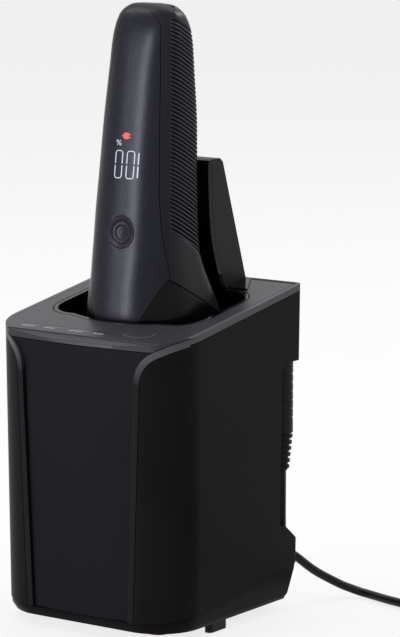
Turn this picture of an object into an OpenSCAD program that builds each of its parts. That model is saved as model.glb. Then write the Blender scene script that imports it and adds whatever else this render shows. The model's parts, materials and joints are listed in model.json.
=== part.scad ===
// Shaver cleaning and charging station with a docked foil shaver.
// Millimetres, +Z up, the front faces -Y, origin on the floor under the middle of the base.

/* [Housing] */
// Width of the housing at its top edge
body_w = 92; // [89:0.5:96]
// Depth of the housing at its top edge
body_d = 91; // [89:0.5:94]
// Height of the top edge at the front
front_h = 120; // [119:0.5:122]
// Rise of the top towards the back, in degrees
top_slope = 9.1; // [8.6:0.1:9.5]
// How much narrower each side is at the floor
side_draft = 1.1; // [0.6:0.1:1.4]
// Radius of the two front corners
corner_r = 20; // [18:0.5:22]
// Radius of the two rear corners
rear_r = 2.5; // [1.5:0.5:4]
// Wall of the outer panels
wall = 2.2; // [2:0.1:2.4]
// Width of the bevelled band along the panel edges
band_w = 2.6; // [2:0.2:3.2]
// Visible seam between neighbouring panels
seam_gap = 0.3; // [0.2:0.05:0.4]
// How far the front panel's sides stand back from its middle
panel_step = 1.5; // [1:0.1:1.8]
// Radius of the roll between deck and front panel
deck_roll = 3.5; // [3:0.5:4]

/* [Rear hand hold] */
// Distance from the middle to the recessed back panel
recess_y = 31.5; // [31:0.5:33]
// Lower end of the recess
recess_z0 = 35.3; // [34:0.5:37]
// Upper end of the recess
recess_z1 = 103; // [102:0.5:104]

/* [Well] */
// Half width of the wash well opening
well_hw = 38; // [37:0.5:39]
// Front lip of the well, in front of the middle
well_front = 25; // [24.5:0.5:26]
// Rear edge of the well, behind the middle
well_back = 29; // [28.5:0.5:29.5]
// Height of the bottom of the well
well_floor = 77; // [75:0.5:78]
// Wall of the basin
basin_t = 1.8; // [1.5:0.1:2]

/* [Charging post] */
// Half width of the post
post_hw = 20.5; // [19:0.5:22]
// Height of the top of the post
post_top = 186; // [182:1:190]
// Thickness of the glossy front cover
post_skin = 2.4; // [2:0.2:3]

/* [Base tray] */
// Height of the gap under the base
base_gap = 4; // [3.5:0.5:5]
// Height of the seam above the base at the front
base_front = 7.6; // [7:0.2:8.6]
// Height of the seam above the base at the back
base_back = 18.2; // [17:0.2:19]
// Height of the rim of the cartridge tub
tub_h = 42; // [40:0.5:43]

/* [Shaver] */
// Backward lean of the docked handle, in degrees
lean = 7.2; // [6.8:0.1:7.6]
// Place of the handle's front line at the height of the front edge
sh_y = -21; // [-21.4:0.1:-20.6]
// Length of the handle above the front edge
sh_top = 131; // [126:1:136]
// Wall of the handle's shells
sh_wall = 1.8; // [1.5:0.1:2.1]
// Radius of the power button
power_r = 4.3; // [3.8:0.1:4.6]
// Radius of the ring around the power button
ring_r = 6.5; // [6:0.1:7]
// Place of the power button along the handle
power_w = 39; // [36:0.5:42]
// Place of the display along the handle
display_w = 66; // [63:0.5:69]
// Travel of the push buttons
press = 0.8; // [0.6:0.1:1]

/* [Cord] */
// Width of the cord
cord_d = 3.6; // [3.2:0.1:3.8]
// Radius of the middle turn of the coil
coil_r = 20; // [18:0.5:22]
// Turns in each layer of the coil
coil_turns = 3; // [2:1:3]

/* [Hidden] */
$fn = 64;

hw = body_w / 2;
hd = body_d / 2;
slope = tan(top_slope);
base_slope = (base_back - base_front) / body_d;
fit = 0.3;             // clearance between parts that slide past each other
snug = 0.2;            // clearance between parts that are fixed to each other
inner_hw = hw - wall;
corner_back = -hd + corner_r; // where the rounded front corners end
block_top = front_h + body_d * slope + 2;

function top_z(y) = front_h + (y + hd) * slope;
function base_z(y) = base_front + (y + hd) * base_slope;
// Width of the drafted housing at a height, as a share of its width at the top edge
function taper(z) = 1 - side_draft / hw * (front_h - z) / front_h;

// ---- shapes that several parts share ----

// Outline of the housing at the top edge, drawn in by i
module plan(i = 0) {
    w = hw - i;
    d = hd - i;
    r = corner_r - i;
    q = max(rear_r - i, 0.5);
    translate([-w, -d + r]) square([2 * w, 2 * d - r - q]);
    translate([-w + r, -d]) square([2 * (w - r), 2 * d]);
    translate([-w + q, -d + r]) square([2 * (w - q), 2 * d - r]);
    for (s = [-1, 1]) {
        translate([s * (w - r), -d + r]) circle(r);
        translate([s * (w - q), d - q]) circle(q);
    }
}

// Drafted block of the housing between two heights
module block(z0, z1, i = 0) {
    translate([0, 0, z0])
        linear_extrude(height = z1 - z0, scale = taper(z1) / taper(z0))
            scale(taper(z0)) plan(i);
}

// Everything above the sloping top, lowered by d
module above_top(d = 0) {
    translate([0, 0, -d])
        rotate([90, 0, 90]) translate([0, 0, -hw - 10]) linear_extrude(body_w + 20)
            polygon([[-hd - 20, top_z(-hd - 20)], [hd + 20, top_z(hd + 20)],
                     [hd + 20, block_top + 60], [-hd - 20, block_top + 60]]);
}

// Everything below the sloping seam of the base, raised by d
module below_base(d = 0) {
    translate([0, 0, d])
        rotate([90, 0, 90]) translate([0, 0, -hw - 10]) linear_extrude(body_w + 20)
            polygon([[-hd - 20, base_z(-hd - 20)], [hd + 20, base_z(hd + 20)],
                     [hd + 20, -20], [-hd - 20, -20]]);
}

// Front view of the seam between the side panels and the middle of the front, one half
seam_foot = hw - 22.6;
seam_x = hw - 18.5;
seam_z = front_h - 15.8;
seam_r = 14.5;
seam_turn = 64;
seam_run = 14;
function seam_half(g) = concat(
    [[0, -10], [seam_foot + g, 0], [seam_x + g, seam_z]],
    [for (a = [8:8:seam_turn])
        [seam_x + seam_r - (seam_r - g) * cos(a), seam_z + (seam_r - g) * sin(a)]],
    [[seam_x + seam_r - (seam_r - g) * cos(seam_turn) + seam_run * sin(seam_turn),
      seam_z + (seam_r - g) * sin(seam_turn) + seam_run * cos(seam_turn)],
     [seam_x + seam_r + seam_run, block_top], [0, block_top]]);

// Middle of the front, cut from front to back as far as the corners reach
module front_middle(g = 0) {
    translate([0, corner_back - 6, 0]) rotate([90, 0, 0]) linear_extrude(corner_r + 20)
        for (s = [0, 1]) mirror([s, 0]) polygon(seam_half(g));
}

// Rear hand hold and the chamfered lower block, seen from the side
lower_block_top = 27.1;
lower_block_in = 35;
module hand_hold(g = 0) {
    rotate([90, 0, 90]) translate([0, 0, -hw - 10]) linear_extrude(body_w + 20)
        polygon([[recess_y - g, recess_z0 - g], [lower_block_in, recess_z0 - g],
                 [hd, lower_block_top - g], [hd + 9, lower_block_top - g - 5],
                 [hd + 9, recess_z1 + g], [recess_y + 3 - g, recess_z1 + g],
                 [recess_y - g, recess_z1 - 3 + g]]);
}

// ---- housing ----

// Drafted skin of the housing
module skin(z0 = 3) {
    difference() {
        block(z0, block_top);
        block(z0 - 1, block_top + 1, wall);
    }
}

module side_panel_right() {
    difference() {
        intersection() {
            skin();
            translate([0, -hd - 5, 0]) cube([hw + 5, body_d + 10, block_top + 9]);
        }
        above_top(band_w + seam_gap);
        below_base(fit);
        front_middle(band_w + seam_gap);
        hand_hold();
        translate([-1, hd - wall - 6, -1]) cube([inner_hw + 1 - snug, 20, block_top + 9]);
    }
}

module trim_band_right() {
    difference() {
        intersection() {
            skin();
            translate([0, -hd - 5, 0]) cube([hw + 5, body_d + 10, block_top + 9]);
            union() {
                difference() {
                    above_top(band_w);
                    translate([0, corner_back - 6.1 - 60, 0]) cube([90, 60, 200]);
                }
                front_middle(band_w);
            }
        }
        above_top(0);
        below_base(fit);
        front_middle(0);
        translate([-1, hd - wall - 6, -1]) cube([inner_hw + 1 - snug, 20, block_top + 9]);
    }
}

module right_side_panel() color("#191a1d") side_panel_right();
module left_side_panel() color("#191a1d") mirror([1, 0, 0]) side_panel_right();
module right_trim_band() color("#6c6e72") trim_band_right();
module left_trim_band() color("#6c6e72") mirror([1, 0, 0]) trim_band_right();

// Bowed plan of the front panel and the deck's front edge
bow_half = 27;
bow_r = (bow_half * bow_half + panel_step * panel_step) / (2 * panel_step);
module bowed(i = 0) {
    intersection() {
        translate([0, bow_r - hd + i]) circle(bow_r, $fn = 360);
        translate([-hw, -hd]) square([body_w, 30 + i]);
    }
}
module bowed_block(z0, z1, i = 0) {
    translate([0, 0, z0]) linear_extrude(height = z1 - z0, scale = taper(z1) / taper(z0))
        scale(taper(z0)) bowed(i);
}

deck_seam = front_h - deck_roll + 0.6; // line below which the front panel starts
module front_panel() {
    color("#1c1d22") difference() {
        intersection() {
            bowed_block(3, deck_seam - seam_gap);
            front_middle(-seam_gap);
        }
        bowed_block(2, deck_seam + 1, wall);
        below_base(fit);
    }
}

// Plan of the well opening, grown by g
well_corner = 14;
module well_plan(g = 0) {
    r = well_corner;
    x = well_hw - r;
    arc_r = 60;
    translate([-well_hw - g, -7]) square([2 * (well_hw + g), well_back - r + 7]);
    translate([-x, -7]) square([2 * x, well_back + g + 7]);
    for (s = [-1, 1]) {
        translate([s * x, -7]) circle(r + g);
        translate([s * x, well_back - r]) circle(r + g);
    }
    intersection() {
        translate([0, arc_r - well_front]) circle(arc_r + g, $fn = 180);
        translate([-x, -hd]) square([2 * x, hd]);
    }
}

deck_t = 2.2;
// The places on the deck, from the middle: the button and the four lamps
button_x = 21.7;
button_y = 11.2 - hd;
button_w = 14;
button_l = 7.6;
lamp_y = 9.5 - hd;
board_mid_y = 12.5 - hd;
lamp_w = 8.4;
lamp_l = 1.3;
lamp_x = [-29.3, -18.6, -5.4, 5.6];

module button_plan(g = 0) {
    // a lens with a bowed front edge
    intersection() {
        translate([-button_w / 2 - g, -button_l / 2 - g])
            square([button_w + 2 * g, button_l + 2 * g]);
        translate([0, 9.2]) circle(button_l / 2 + 9.2 + g);
    }
}

// Follows the sloping deck: z is measured from its surface
module on_deck(y = 0) {
    translate([0, y, top_z(y)]) rotate([top_slope, 0, 0]) children();
}

// The space between the bands, out to the bowed front edge
module deck_space() {
    intersection() {
        block(60, block_top, wall + snug);
        translate([-hw, corner_back - 6.1, 0]) cube([body_w, body_d, block_top]);
    }
    intersection() {
        block(60, block_top);
        bowed_block(60, block_top);
        front_middle(-seam_gap);
    }
}

module top_deck() {
    color("#3a3b3f") difference() {
        intersection() {
            deck_space();
            union() {
                // the plate, and the lip that rolls over the front edge
                above_top(deck_t);
                difference() {
                    bowed_block(deck_seam, front_h + 1);
                    bowed_block(deck_seam - 1, front_h + 2, wall);
                }
            }
        }
        above_top(0);
        // the roll along the front edge
        rotate([90, 0, 90]) translate([0, 0, -hw]) linear_extrude(body_w) difference() {
            translate([-hd - 3, front_h - deck_roll]) square([deck_roll + 3, deck_roll + 3]);
            translate([-hd + deck_roll, front_h - deck_roll]) circle(deck_roll);
        }
        linear_extrude(block_top) well_plan();
        on_deck(button_y) translate([button_x, 0, -9]) linear_extrude(20) button_plan(fit);
        for (x = lamp_x) on_deck(lamp_y)
            translate([x - lamp_w / 2, -lamp_l / 2, -9]) cube([lamp_w, lamp_l, 20]);
        post_socket();
        // the upper rear cover carries the rear edge
        translate([-hw, hd - wall - snug, 60]) cube([body_w, 20, 90]);
    }
}

// Where the post stands in the deck
module post_socket() {
    translate([-post_hw - snug, well_back - well_corner, 100])
        cube([2 * (post_hw + snug), post_foot_y + snug - well_back + well_corner, 60]);
}

module upper_rear_cover() {
    y0 = recess_y + snug;
    color("#1b1c1f") difference() {
        union() {
            intersection() {
                difference() {
                    block(60, block_top, 0);
                    block(59, block_top + 1, wall);
                }
                translate([-inner_hw + 0.4, hd - wall - 0.2, recess_z1 + fit])
                    cube([2 * inner_hw - 0.8, 20, 90]);
            }
            // ceiling of the hand hold
            translate([-inner_hw + 0.4, y0 + 3, recess_z1 + fit])
                cube([2 * inner_hw - 0.8, hd - wall - y0 - 3, wall]);
        }
        above_top(0);
        // the plug passes through the ceiling
        translate([plug_x, plug_y, recess_z1 - 5]) cylinder(r = plug_nose_r + fit, h = 20);
    }
}

rear_hw = inner_hw * taper(base_gap) - snug; // half width of the covers between the sides
module back_panel() {
    w = rear_hw;
    color("#1b1c1f") difference() {
        union() {
            translate([-w, recess_y - wall, recess_z0 - 9]) cube([2 * w, wall, recess_z1 - recess_z0 + 9]);
            translate([-w, recess_y - wall, recess_z1 - 3.4])
                cube([2 * w, wall + 3, 3.4 + fit]);
        }
        rotate([90, 0, 90]) translate([0, 0, -hw]) linear_extrude(body_w)
            polygon([[recess_y, recess_z1 - 12], [recess_y, recess_z1 - 3],
                     [recess_y + 3, recess_z1], [recess_y + 9, recess_z1], [recess_y + 9, 80]]);
    }
}

channel_w = cord_d + 2.4; // groove that the cord runs down in
module lower_rear_cover() {
    y1 = hd - 0.7;
    z1 = base_z(hd) + fit;
    z2 = base_z(recess_y) + 4;
    color("#1b1c1f") difference() {
        rotate([90, 0, 90]) translate([0, 0, -rear_hw]) linear_extrude(2 * rear_hw)
            polygon([[recess_y + snug, z2], [recess_y + snug, recess_z0],
                     [lower_block_in, recess_z0], [y1, lower_block_top + 0.5], [y1, z1],
                     [y1 - wall, z1], [y1 - wall, lower_block_top - wall + 0.9],
                     [lower_block_in - 0.8, recess_z0 - wall],
                     [recess_y + snug + wall, recess_z0 - wall], [recess_y + snug + wall, z2]]);
        translate([plug_x - channel_w / 2, lower_block_in + 1, -1]) cube([channel_w + 9, 30, 90]);
    }
    // cheek of the groove
    color("#1b1c1f") translate([plug_x - channel_w / 2 - 1.2, lower_block_in + 1, z1 + 4])
        cube([1.2, y1 - wall - lower_block_in - 0.9, lower_block_top - z1 - 4.5]);
}

// ---- well and charging post ----

ledge_in = 23.2;    // inner edge of the ledges that the docked shaver rests on
ledge_h = 3.8;
ledge_y = [-7, 13];
shelf_x = 28;       // the columns under the ledges stand clear of the head
neck_z = 106;       // the flat underside of the docked neck
drain_x = 9;
supply_x = -25;
supply_y = -14;
duct_x = 22;
duct_y = 10;
module wash_basin() {
    lip = 0.4;
    color("#101113") difference() {
        union() {
            difference() {
                translate([0, 0, well_floor - basin_t]) linear_extrude(60) well_plan(-lip);
                translate([0, 0, well_floor]) linear_extrude(90) well_plan(-lip - basin_t);
            }
            // ledges for the shoulders of the shaver, on columns at the sides
            intersection() {
                translate([0, 0, well_floor - 0.1]) linear_extrude(60) well_plan(-lip - 0.2);
                for (s = [0, 1]) mirror([s, 0, 0]) translate([0, ledge_y[0], 0]) {
                    translate([ledge_in, 0, neck_z - fit - ledge_h])
                        cube([20, ledge_y[1] - ledge_y[0], ledge_h]);
                    translate([shelf_x, 0, well_floor - 0.1])
                        cube([20, ledge_y[1] - ledge_y[0], neck_z - fit - ledge_h - well_floor + 0.2]);
                }
            }
        }
        above_top(0);
        // room for the foot of the post
        rotate([90, 0, 90]) translate([0, 0, -post_hw - snug]) linear_extrude(2 * (post_hw + snug))
            polygon(concat([for (k = [1:3]) post_front[k] + [-snug, -2 * snug]],
                [[post_front[3][0] - snug, 160], [60, 160], [60, post_front[1][1] - 2 * snug]]));
        translate([drain_x, 0, well_floor - 9]) cylinder(r = tube_r + snug, h = 20);
        translate([supply_x, supply_y, well_floor - 9]) cylinder(r = tube_r + snug, h = 20);
        translate([duct_x + 7, duct_y - 4, well_floor - 9]) cube([6, 6, 20]);
    }
}

post_foot_y = hd - 3.3;
post_toe_y = post_foot_y - 9.3; // front of the post's foot
// Side view of the post: front line from the foot up, then the top and the back line down
post_front = [[post_toe_y, 124], [post_toe_y, 126.8], [28.6, 129.2], [25.7, 131.8],
              [23.4, 136.2], [20.8, 143.4], [18.6, 150], [17.3, 155.4], [16.2, 164], [15.6, 174]];
post_tip_y = 15.3;
post_top_y = 25.6;
module post_profile(i = 0) {
    polygon(concat([for (p = post_front) [p[0] + i, p[1]]],
                   [[post_tip_y + i, post_top - 2], [post_tip_y + i + 1.2, post_top - 0.4 - i],
                    [post_tip_y + i + 2.6, post_top - i], [post_top_y - 2 - i, post_top - i],
                    [post_top_y - i, post_top - 1.6 - i],
                    [post_foot_y - i, top_z(post_foot_y) + 0.4],
                    [post_foot_y - i, top_z(post_foot_y) - 9],
                    [post_toe_y + i, 118]]));
}
// The zone of the front cover, and everything in front of it, thickened by g
module post_strip(g = 0) {
    polygon(concat([[0, post_front[0][1] - 40]],
        [[post_front[0][0] + post_skin + g, post_front[0][1] - 40]],
        [for (p = post_front) p + [post_skin + g, 0]],
        [[post_tip_y + post_skin + g, post_top + 5], [0, post_top + 5]]));
}

module post_front_cover() {
    color("#0a0a0b") difference() {
        rotate([90, 0, 90]) translate([0, 0, -post_hw]) linear_extrude(2 * post_hw)
            intersection() {
                post_profile();
                post_strip();
            }
        contact_holes();
    }
}
module contact_holes() {
    for (s = [-1, 1]) translate([s * contact_x, 0, contact_z])
        rotate([-90, 0, 0]) cylinder(r = contact_r + 0.05, h = contact_seat + 1);
}
module post_rear_cover() {
    color("#35363a") difference() {
        rotate([90, 0, 90]) translate([0, 0, -post_hw]) linear_extrude(2 * post_hw) difference() {
            post_profile();
            post_strip(0.1);
        }
        // hollow inside, open at the bottom
        rotate([90, 0, 90]) translate([0, 0, -post_hw + 2]) linear_extrude(2 * post_hw - 4)
            difference() {
                post_profile(2);
                post_strip(2);
            }
        translate([-hw, 0, 60]) cube([body_w, hd, top_z(post_foot_y) - 66]);
        contact_holes();
    }
}
module post_plinth() {
    color("#0c0c0e") difference() {
        on_deck(0) linear_extrude(0.8) difference() {
            polygon([[-30, well_back + 0.6], [30, well_back + 0.6], [22, post_foot_y + 2],
                     [-22, post_foot_y + 2]]);
            translate([-post_hw - snug, well_back]) square([2 * post_hw + 2 * snug, 30]);
        }
    }
}

contact_r = 2.2;
contact_x = 7;
contact_z = 172;
contact_tip = 14.3;  // where the pins end in front of the post
contact_seat = 20.4; // where their flanges lie inside it
module charge_contacts() {
    color("#c9b27a") for (s = [-1, 1]) translate([s * contact_x, 0, contact_z])
        rotate([-90, 0, 0]) {
            translate([0, 0, contact_tip]) cylinder(r = contact_r, h = contact_seat - contact_tip);
            translate([0, 0, contact_seat]) cylinder(r = contact_r + 1, h = 1.2);
        }
}

// ---- controls ----

button_foot = 1.2; // thickness and width of the foot that keeps the button in
button_depth = deck_t + fit + button_foot;
module select_button() {
    color("#34353a") on_deck(button_y) translate([button_x, 0, -button_depth]) union() {
        linear_extrude(button_depth + 0.3) button_plan();
        linear_extrude(button_foot) button_plan(button_foot);
    }
}
board_drop = 6.6; // distance from the deck's surface to the board
module lamp_lenses() {
    color("#8f9296") for (x = lamp_x) on_deck(lamp_y)
        translate([x - lamp_w / 2 + 0.1, -lamp_l / 2 + 0.1, -board_drop + 0.1])
            cube([lamp_w - 0.2, lamp_l - 0.2, board_drop - 0.2]);
}
switch_h = board_drop - button_depth - press - fit;
module control_board() {
    color("#1f5b34") difference() {
        on_deck(board_mid_y) translate([-33, -5.6, -board_drop - 1.6]) cube([66, 11.6, 1.6]);
        for (x = [-12, 12]) on_deck(board_mid_y) translate([x, 2.4, -20]) cylinder(r = 1.3, h = 40);
    }
}
module select_switch() {
    color("#2b2b2e") on_deck(button_y)
        translate([button_x - 2, -2, -board_drop]) cube([4, 4, switch_h]);
}
module board_screws() {
    // posts that hang from the deck, with the screw heads under the board
    color("#b9bcc0") for (x = [-12, 12]) on_deck(board_mid_y) translate([x, 2.4, 0]) {
        translate([0, 0, -board_drop - 3.2]) cylinder(r = 2.4, h = 1.5);
        translate([0, 0, -board_drop - 2]) cylinder(r = 1.1, h = board_drop + 2 - deck_t);
    }
}

// ---- inside the housing ----

chassis_z = 46;
chassis_t = 2.5;
pump_x = -20;
pump_y = 14;
tube_r = 3;
tube_wall = 0.9;
module chassis() {
    t = taper(chassis_z);
    color("#2a2b2e") difference() {
        translate([0, 0, chassis_z]) linear_extrude(chassis_t) intersection() {
            scale(t) plan(wall + 0.15);
            translate([-hw, -hd + wall + 2.2]) square([body_w, hd + recess_y - 2 * wall - 2.4]);
        }
        translate([drain_x, 0, 0]) cylinder(r = tube_r + snug, h = 90);
        translate([pump_x, pump_y, 0]) cylinder(r = tube_r + snug, h = 90);
    }
    // props under the basin
    color("#2a2b2e") for (p = [[-34, -16], [34, -18], [0, 22], [34, 20]])
        translate([p[0], p[1], chassis_z + chassis_t])
            cylinder(r = 2.5, h = well_floor - basin_t - chassis_z - chassis_t);
}

pump_z = chassis_z + chassis_t;
pump_r = 14;
pump_h = 9;
impeller_r = 9;
shaft_r = 1;
module pump_housing() {
    color("#4b4d52") difference() {
        union() {
            translate([pump_x, pump_y, pump_z]) cylinder(r = pump_r, h = pump_h);
            translate([supply_x - 4, supply_y - 4, pump_z]) cube([8, 32, pump_h]);
        }
        translate([pump_x, pump_y, pump_z + 1.5]) cylinder(r = impeller_r + 1, h = pump_h - 3);
        translate([pump_x, pump_y, pump_z - 1]) cylinder(r = tube_r + 0.05, h = 3);
        translate([pump_x, pump_y, pump_z]) cylinder(r = shaft_r + 0.05, h = pump_h + 1);
        translate([supply_x, supply_y, pump_z + 4]) cylinder(r = tube_r + 0.05, h = 20);
        translate([supply_x - 1.5, supply_y, pump_z + 2.5]) cube([3, 22, 4]);
    }
}
module pump_motor() {
    color("#a9acb0") difference() {
        translate([pump_x, pump_y, pump_z + pump_h]) cylinder(r = 10, h = 14);
        translate([pump_x, pump_y, pump_z]) cylinder(r = shaft_r + 0.05, h = pump_h + 6.5);
    }
}
module pump_impeller() {
    color("#d8dadd") translate([pump_x, pump_y, pump_z + 2.2]) {
        cylinder(r = impeller_r - 1, h = 1);
        cylinder(r = 2.4, h = 4.4);
        cylinder(r = shaft_r, h = pump_h + 3);
        for (k = [0:5]) rotate(k * 60) translate([1.8, -0.5, 0]) cube([impeller_r - 2.4, 1, 4]);
    }
}
module suction_tube() {
    color("#c8ccd0") difference() {
        translate([pump_x, pump_y, 14]) cylinder(r = tube_r, h = pump_z + 1.4 - 14);
        translate([pump_x, pump_y, 13]) cylinder(r = tube_r - tube_wall, h = 60);
    }
}
module supply_tube() {
    color("#c8ccd0") difference() {
        translate([supply_x, supply_y, pump_z + 4]) cylinder(r = tube_r, h = well_floor + 6 - pump_z - 4);
        translate([supply_x, supply_y, pump_z + 3]) cylinder(r = tube_r - tube_wall, h = 60);
    }
}
module drain_tube() {
    color("#c8ccd0") difference() {
        translate([drain_x, 0, 36]) cylinder(r = tube_r, h = well_floor + 0.6 - 36);
        translate([drain_x, 0, 35]) cylinder(r = tube_r - tube_wall, h = 60);
    }
}

fan_r = 12;
fan_h = 9;
wheel_r = 9.5;
module fan_housing() {
    color("#4b4d52") difference() {
        union() {
            translate([duct_x, duct_y, pump_z]) cylinder(r = fan_r, h = fan_h);
            translate([duct_x + 6, duct_y - 5, pump_z])
                cube([8, 8, well_floor - basin_t - pump_z - 0.1]);
        }
        translate([duct_x, duct_y, pump_z + 1.5]) cylinder(r = wheel_r + 1, h = fan_h - 3);
        translate([duct_x, duct_y, pump_z - 1]) cylinder(r = 5, h = 4);
        translate([duct_x, duct_y, pump_z]) cylinder(r = shaft_r + 0.05, h = fan_h + 1);
        translate([duct_x + 7.5, duct_y - 3.5, pump_z + 1.5]) cube([5, 5, 40]);
    }
}
module fan_motor() {
    color("#a9acb0") difference() {
        translate([duct_x, duct_y, pump_z + fan_h]) cylinder(r = 5.6, h = 12);
        translate([duct_x, duct_y, pump_z]) cylinder(r = shaft_r + 0.05, h = fan_h + 6.5);
    }
}
module fan_wheel() {
    color("#d8dadd") translate([duct_x, duct_y, pump_z + 2.2]) {
        difference() {
            cylinder(r = wheel_r, h = 4.6);
            translate([0, 0, 0.9]) cylinder(r = wheel_r - 2.6, h = 9);
            for (k = [0:11]) rotate(k * 30 + 15) translate([wheel_r - 3.4, -0.9, 0.9])
                cube([5, 1.8, 9]);
        }
        cylinder(r = 2.2, h = 4.6);
        cylinder(r = shaft_r, h = fan_h + 3);
    }
}

// ---- base tray ----

tub_hw = 36.6;
tub_front = 36.6;
tub_back = 27;
tub_t = 2;
module base_tray() {
    foot_in = 1.3; // the skirt draws in towards its foot
    foot_h = 2.5;
    foot_hw = (hw - 0.4) * taper(base_gap) - foot_in;
    lean_in = 7.2; // and its back slants in
    back = hd * taper(base_back) - 0.4;
    color("#0b0b0c") difference() {
        union() {
            difference() {
                intersection() {
                    block(base_gap, 30, 0.4);
                    translate([0, 0, base_gap])
                        linear_extrude(height = 6 * foot_h, scale = (foot_hw + 6 * foot_in) / foot_hw)
                            scale(foot_hw / (hw - 0.4)) plan(0.4);
                    below_base(0);
                }
                translate([0, 0, base_gap + 2.5]) linear_extrude(40) intersection() {
                    scale(taper(8)) plan(wall + 0.8);
                    translate([-hw, -hd]) square([body_w, body_d - lean_in - 2.6]);
                }
                rotate([90, 0, 90]) translate([0, 0, -plug_x + 6]) linear_extrude(2 * plug_x - 12)
                    polygon([[back - 3, base_back + 9], [back - 3, base_back - 2],
                             [back - lean_in - 2.6, base_gap + 2.5], [10, base_gap + 2.5],
                             [10, base_back + 9]]);
            }
            // tub for the cartridge
            difference() {
                translate([-tub_hw, -tub_front, base_gap])
                    cube([2 * tub_hw, tub_front + tub_back, tub_h - base_gap]);
                translate([-tub_hw + tub_t, -tub_front + tub_t, base_gap + 2.5])
                    cube([2 * (tub_hw - tub_t), tub_front + tub_back - 2 * tub_t, tub_h]);
            }
        }
        rotate([90, 0, 90]) translate([0, 0, -hw - 5]) linear_extrude(body_w + 10)
            polygon([[back - 0.2, base_back + 1], [hd + 9, base_back + 1], [hd + 9, 0],
                     [back - lean_in - 0.6, 0], [back - lean_in, base_gap + 0.8]]);
        for (s = [-1, 1]) translate([s * foot_x, foot_y, base_gap - 1])
            linear_extrude(2.2) foot_plan(0.1);
        for (p = pad_at) translate([p[0], p[1], base_gap - 1]) cylinder(r = pad_r + 0.1, h = 2.2);
    }
}

foot_x = 40.6;
foot_y = -8;
foot_l = 12;
foot_w = 3.6;
module foot_plan(g = 0) {
    r = foot_w / 2;
    translate([-r - g, -foot_l / 2 + r]) square([foot_w + 2 * g, foot_l - 2 * r]);
    for (s = [-1, 1]) translate([0, s * (foot_l / 2 - r)]) circle(r + g);
}
module side_feet() {
    color("#161617") for (s = [-1, 1]) translate([s * foot_x, foot_y, 0])
        linear_extrude(base_gap + 1) foot_plan();
}
pad_r = 5;
pad_at = [[-24, -24], [24, -24], [-26, 24], [26, 24]];
module rubber_pads() {
    color("#161617") for (p = pad_at) translate([p[0], p[1], 0]) cylinder(r = pad_r, h = base_gap + 1);
}

cart_gap = 1;
cart_top = tub_h - 4;
cap_hw = tub_hw - 5.6;
cap_y = 9.6; // front edge of the cap, behind the front of the tub
module cartridge() {
    x = tub_hw - tub_t - cart_gap;
    y0 = -tub_front + tub_t + cart_gap;
    y1 = tub_back - tub_t - cart_gap;
    z0 = base_gap + 2.5;
    color("#dfe3e6") difference() {
        translate([-x, y0, z0]) cube([2 * x, y1 - y0, cart_top - z0]);
        translate([-x + 1.5, y0 + 1.5, z0 + 1.5]) cube([2 * x - 3, y1 - y0 - 3, cart_top - z0 - 3]);
        translate([pump_x, pump_y, 20]) cylinder(r = tube_r + 2, h = 40);
        translate([drain_x, 0, 20]) cylinder(r = tube_r + 2, h = 40);
    }
}
module cartridge_cap() {
    color("#3f74a8") translate([0, 0, cart_top]) difference() {
        translate([-cap_hw, cap_y - tub_front, 0])
            cube([2 * cap_hw, tub_front + tub_back - cap_y - 6, 1.2]);
        translate([pump_x, pump_y, -1]) cylinder(r = tube_r + 2, h = 9);
        translate([drain_x, 0, -1]) cylinder(r = tube_r + 2, h = 9);
    }
}

// ---- power lead ----

plug_x = hw - 5.6;
plug_y = hd - 6;
plug_r = 4.5;
plug_nose_r = 2.4;
plug_top = recess_z1 - 0.2;
plug_len = 29.6;
relief_len = 15.8;
module power_inlet() {
    color("#1d1e20") difference() {
        translate([inner_hw - 9.6, plug_y - 4, recess_z1 + fit + wall]) cube([9.2, 7.4, 12]);
        translate([plug_x, plug_y, recess_z1]) cylinder(r = plug_nose_r + 0.1, h = 12.4);
    }
}
module appliance_plug() {
    color("#2c2d30") translate([plug_x, plug_y, 0]) {
        difference() {
            translate([0, 0, plug_top - plug_len]) cylinder(r = plug_r, h = plug_len);
            for (k = [1:6]) translate([0, 0, plug_top - 2 - 3.6 * k]) difference() {
                cylinder(r = plug_r + 1, h = 0.6);
                translate([0, 0, -1]) cylinder(r = plug_r - 0.3, h = 3);
            }
        }
        translate([0, 0, plug_top - 0.5]) cylinder(r = plug_nose_r, h = 11);
    }
}
module plug_strain_relief() {
    z1 = plug_top - plug_len;
    color("#2c2d30") translate([plug_x, plug_y, z1 - relief_len]) {
        cylinder(r1 = cord_d / 2 + 0.5, r2 = plug_r - 1.1, h = relief_len);
        for (k = [0:5]) translate([0, 0, 0.8 + k * 2.55])
            cylinder(r1 = cord_d / 2 + 1.2 + k * 0.26, r2 = cord_d / 2 + 1.4 + k * 0.26, h = 1.3);
    }
}

cord_z = cord_d / 2 + 0.1; // height of the lead where it lies on the floor
relief_end = plug_top - plug_len - relief_len;
// Where the lead runs from the plug to the coil: across and back from the plug, height
lead_path = [
    [0, 0, relief_end], [0, 0, 52], [0, 0, 45], [0, 0, 38], [0, 0.3, 32], [0.2, 1.5, 26.5],
    [1, 4.5, 22.3], [2.6, 8, 19.3], [4, 11, 16.6], [5.4, 14, 14], [6.8, 17.2, 11.6],
    [8.4, 20.5, 9.4], [10.2, 23.7, 7.3], [12.4, 26.7, 5.3], [15.2, 29.2, 3.7], [18.8, 30.7, 2.5],
    [23, 30.8, cord_z + 0.1], [27.6, 29.7, cord_z], [33.6, 27.9, cord_z], [40.6, 26.3, cord_z],
    [47.6, 25.1, cord_z], [54.1, 24.7, cord_z], [60.2, 25.7, cord_z]];
cord_points = [for (p = lead_path) [plug_x + p[0], plug_y + p[1], p[2]]];

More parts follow.
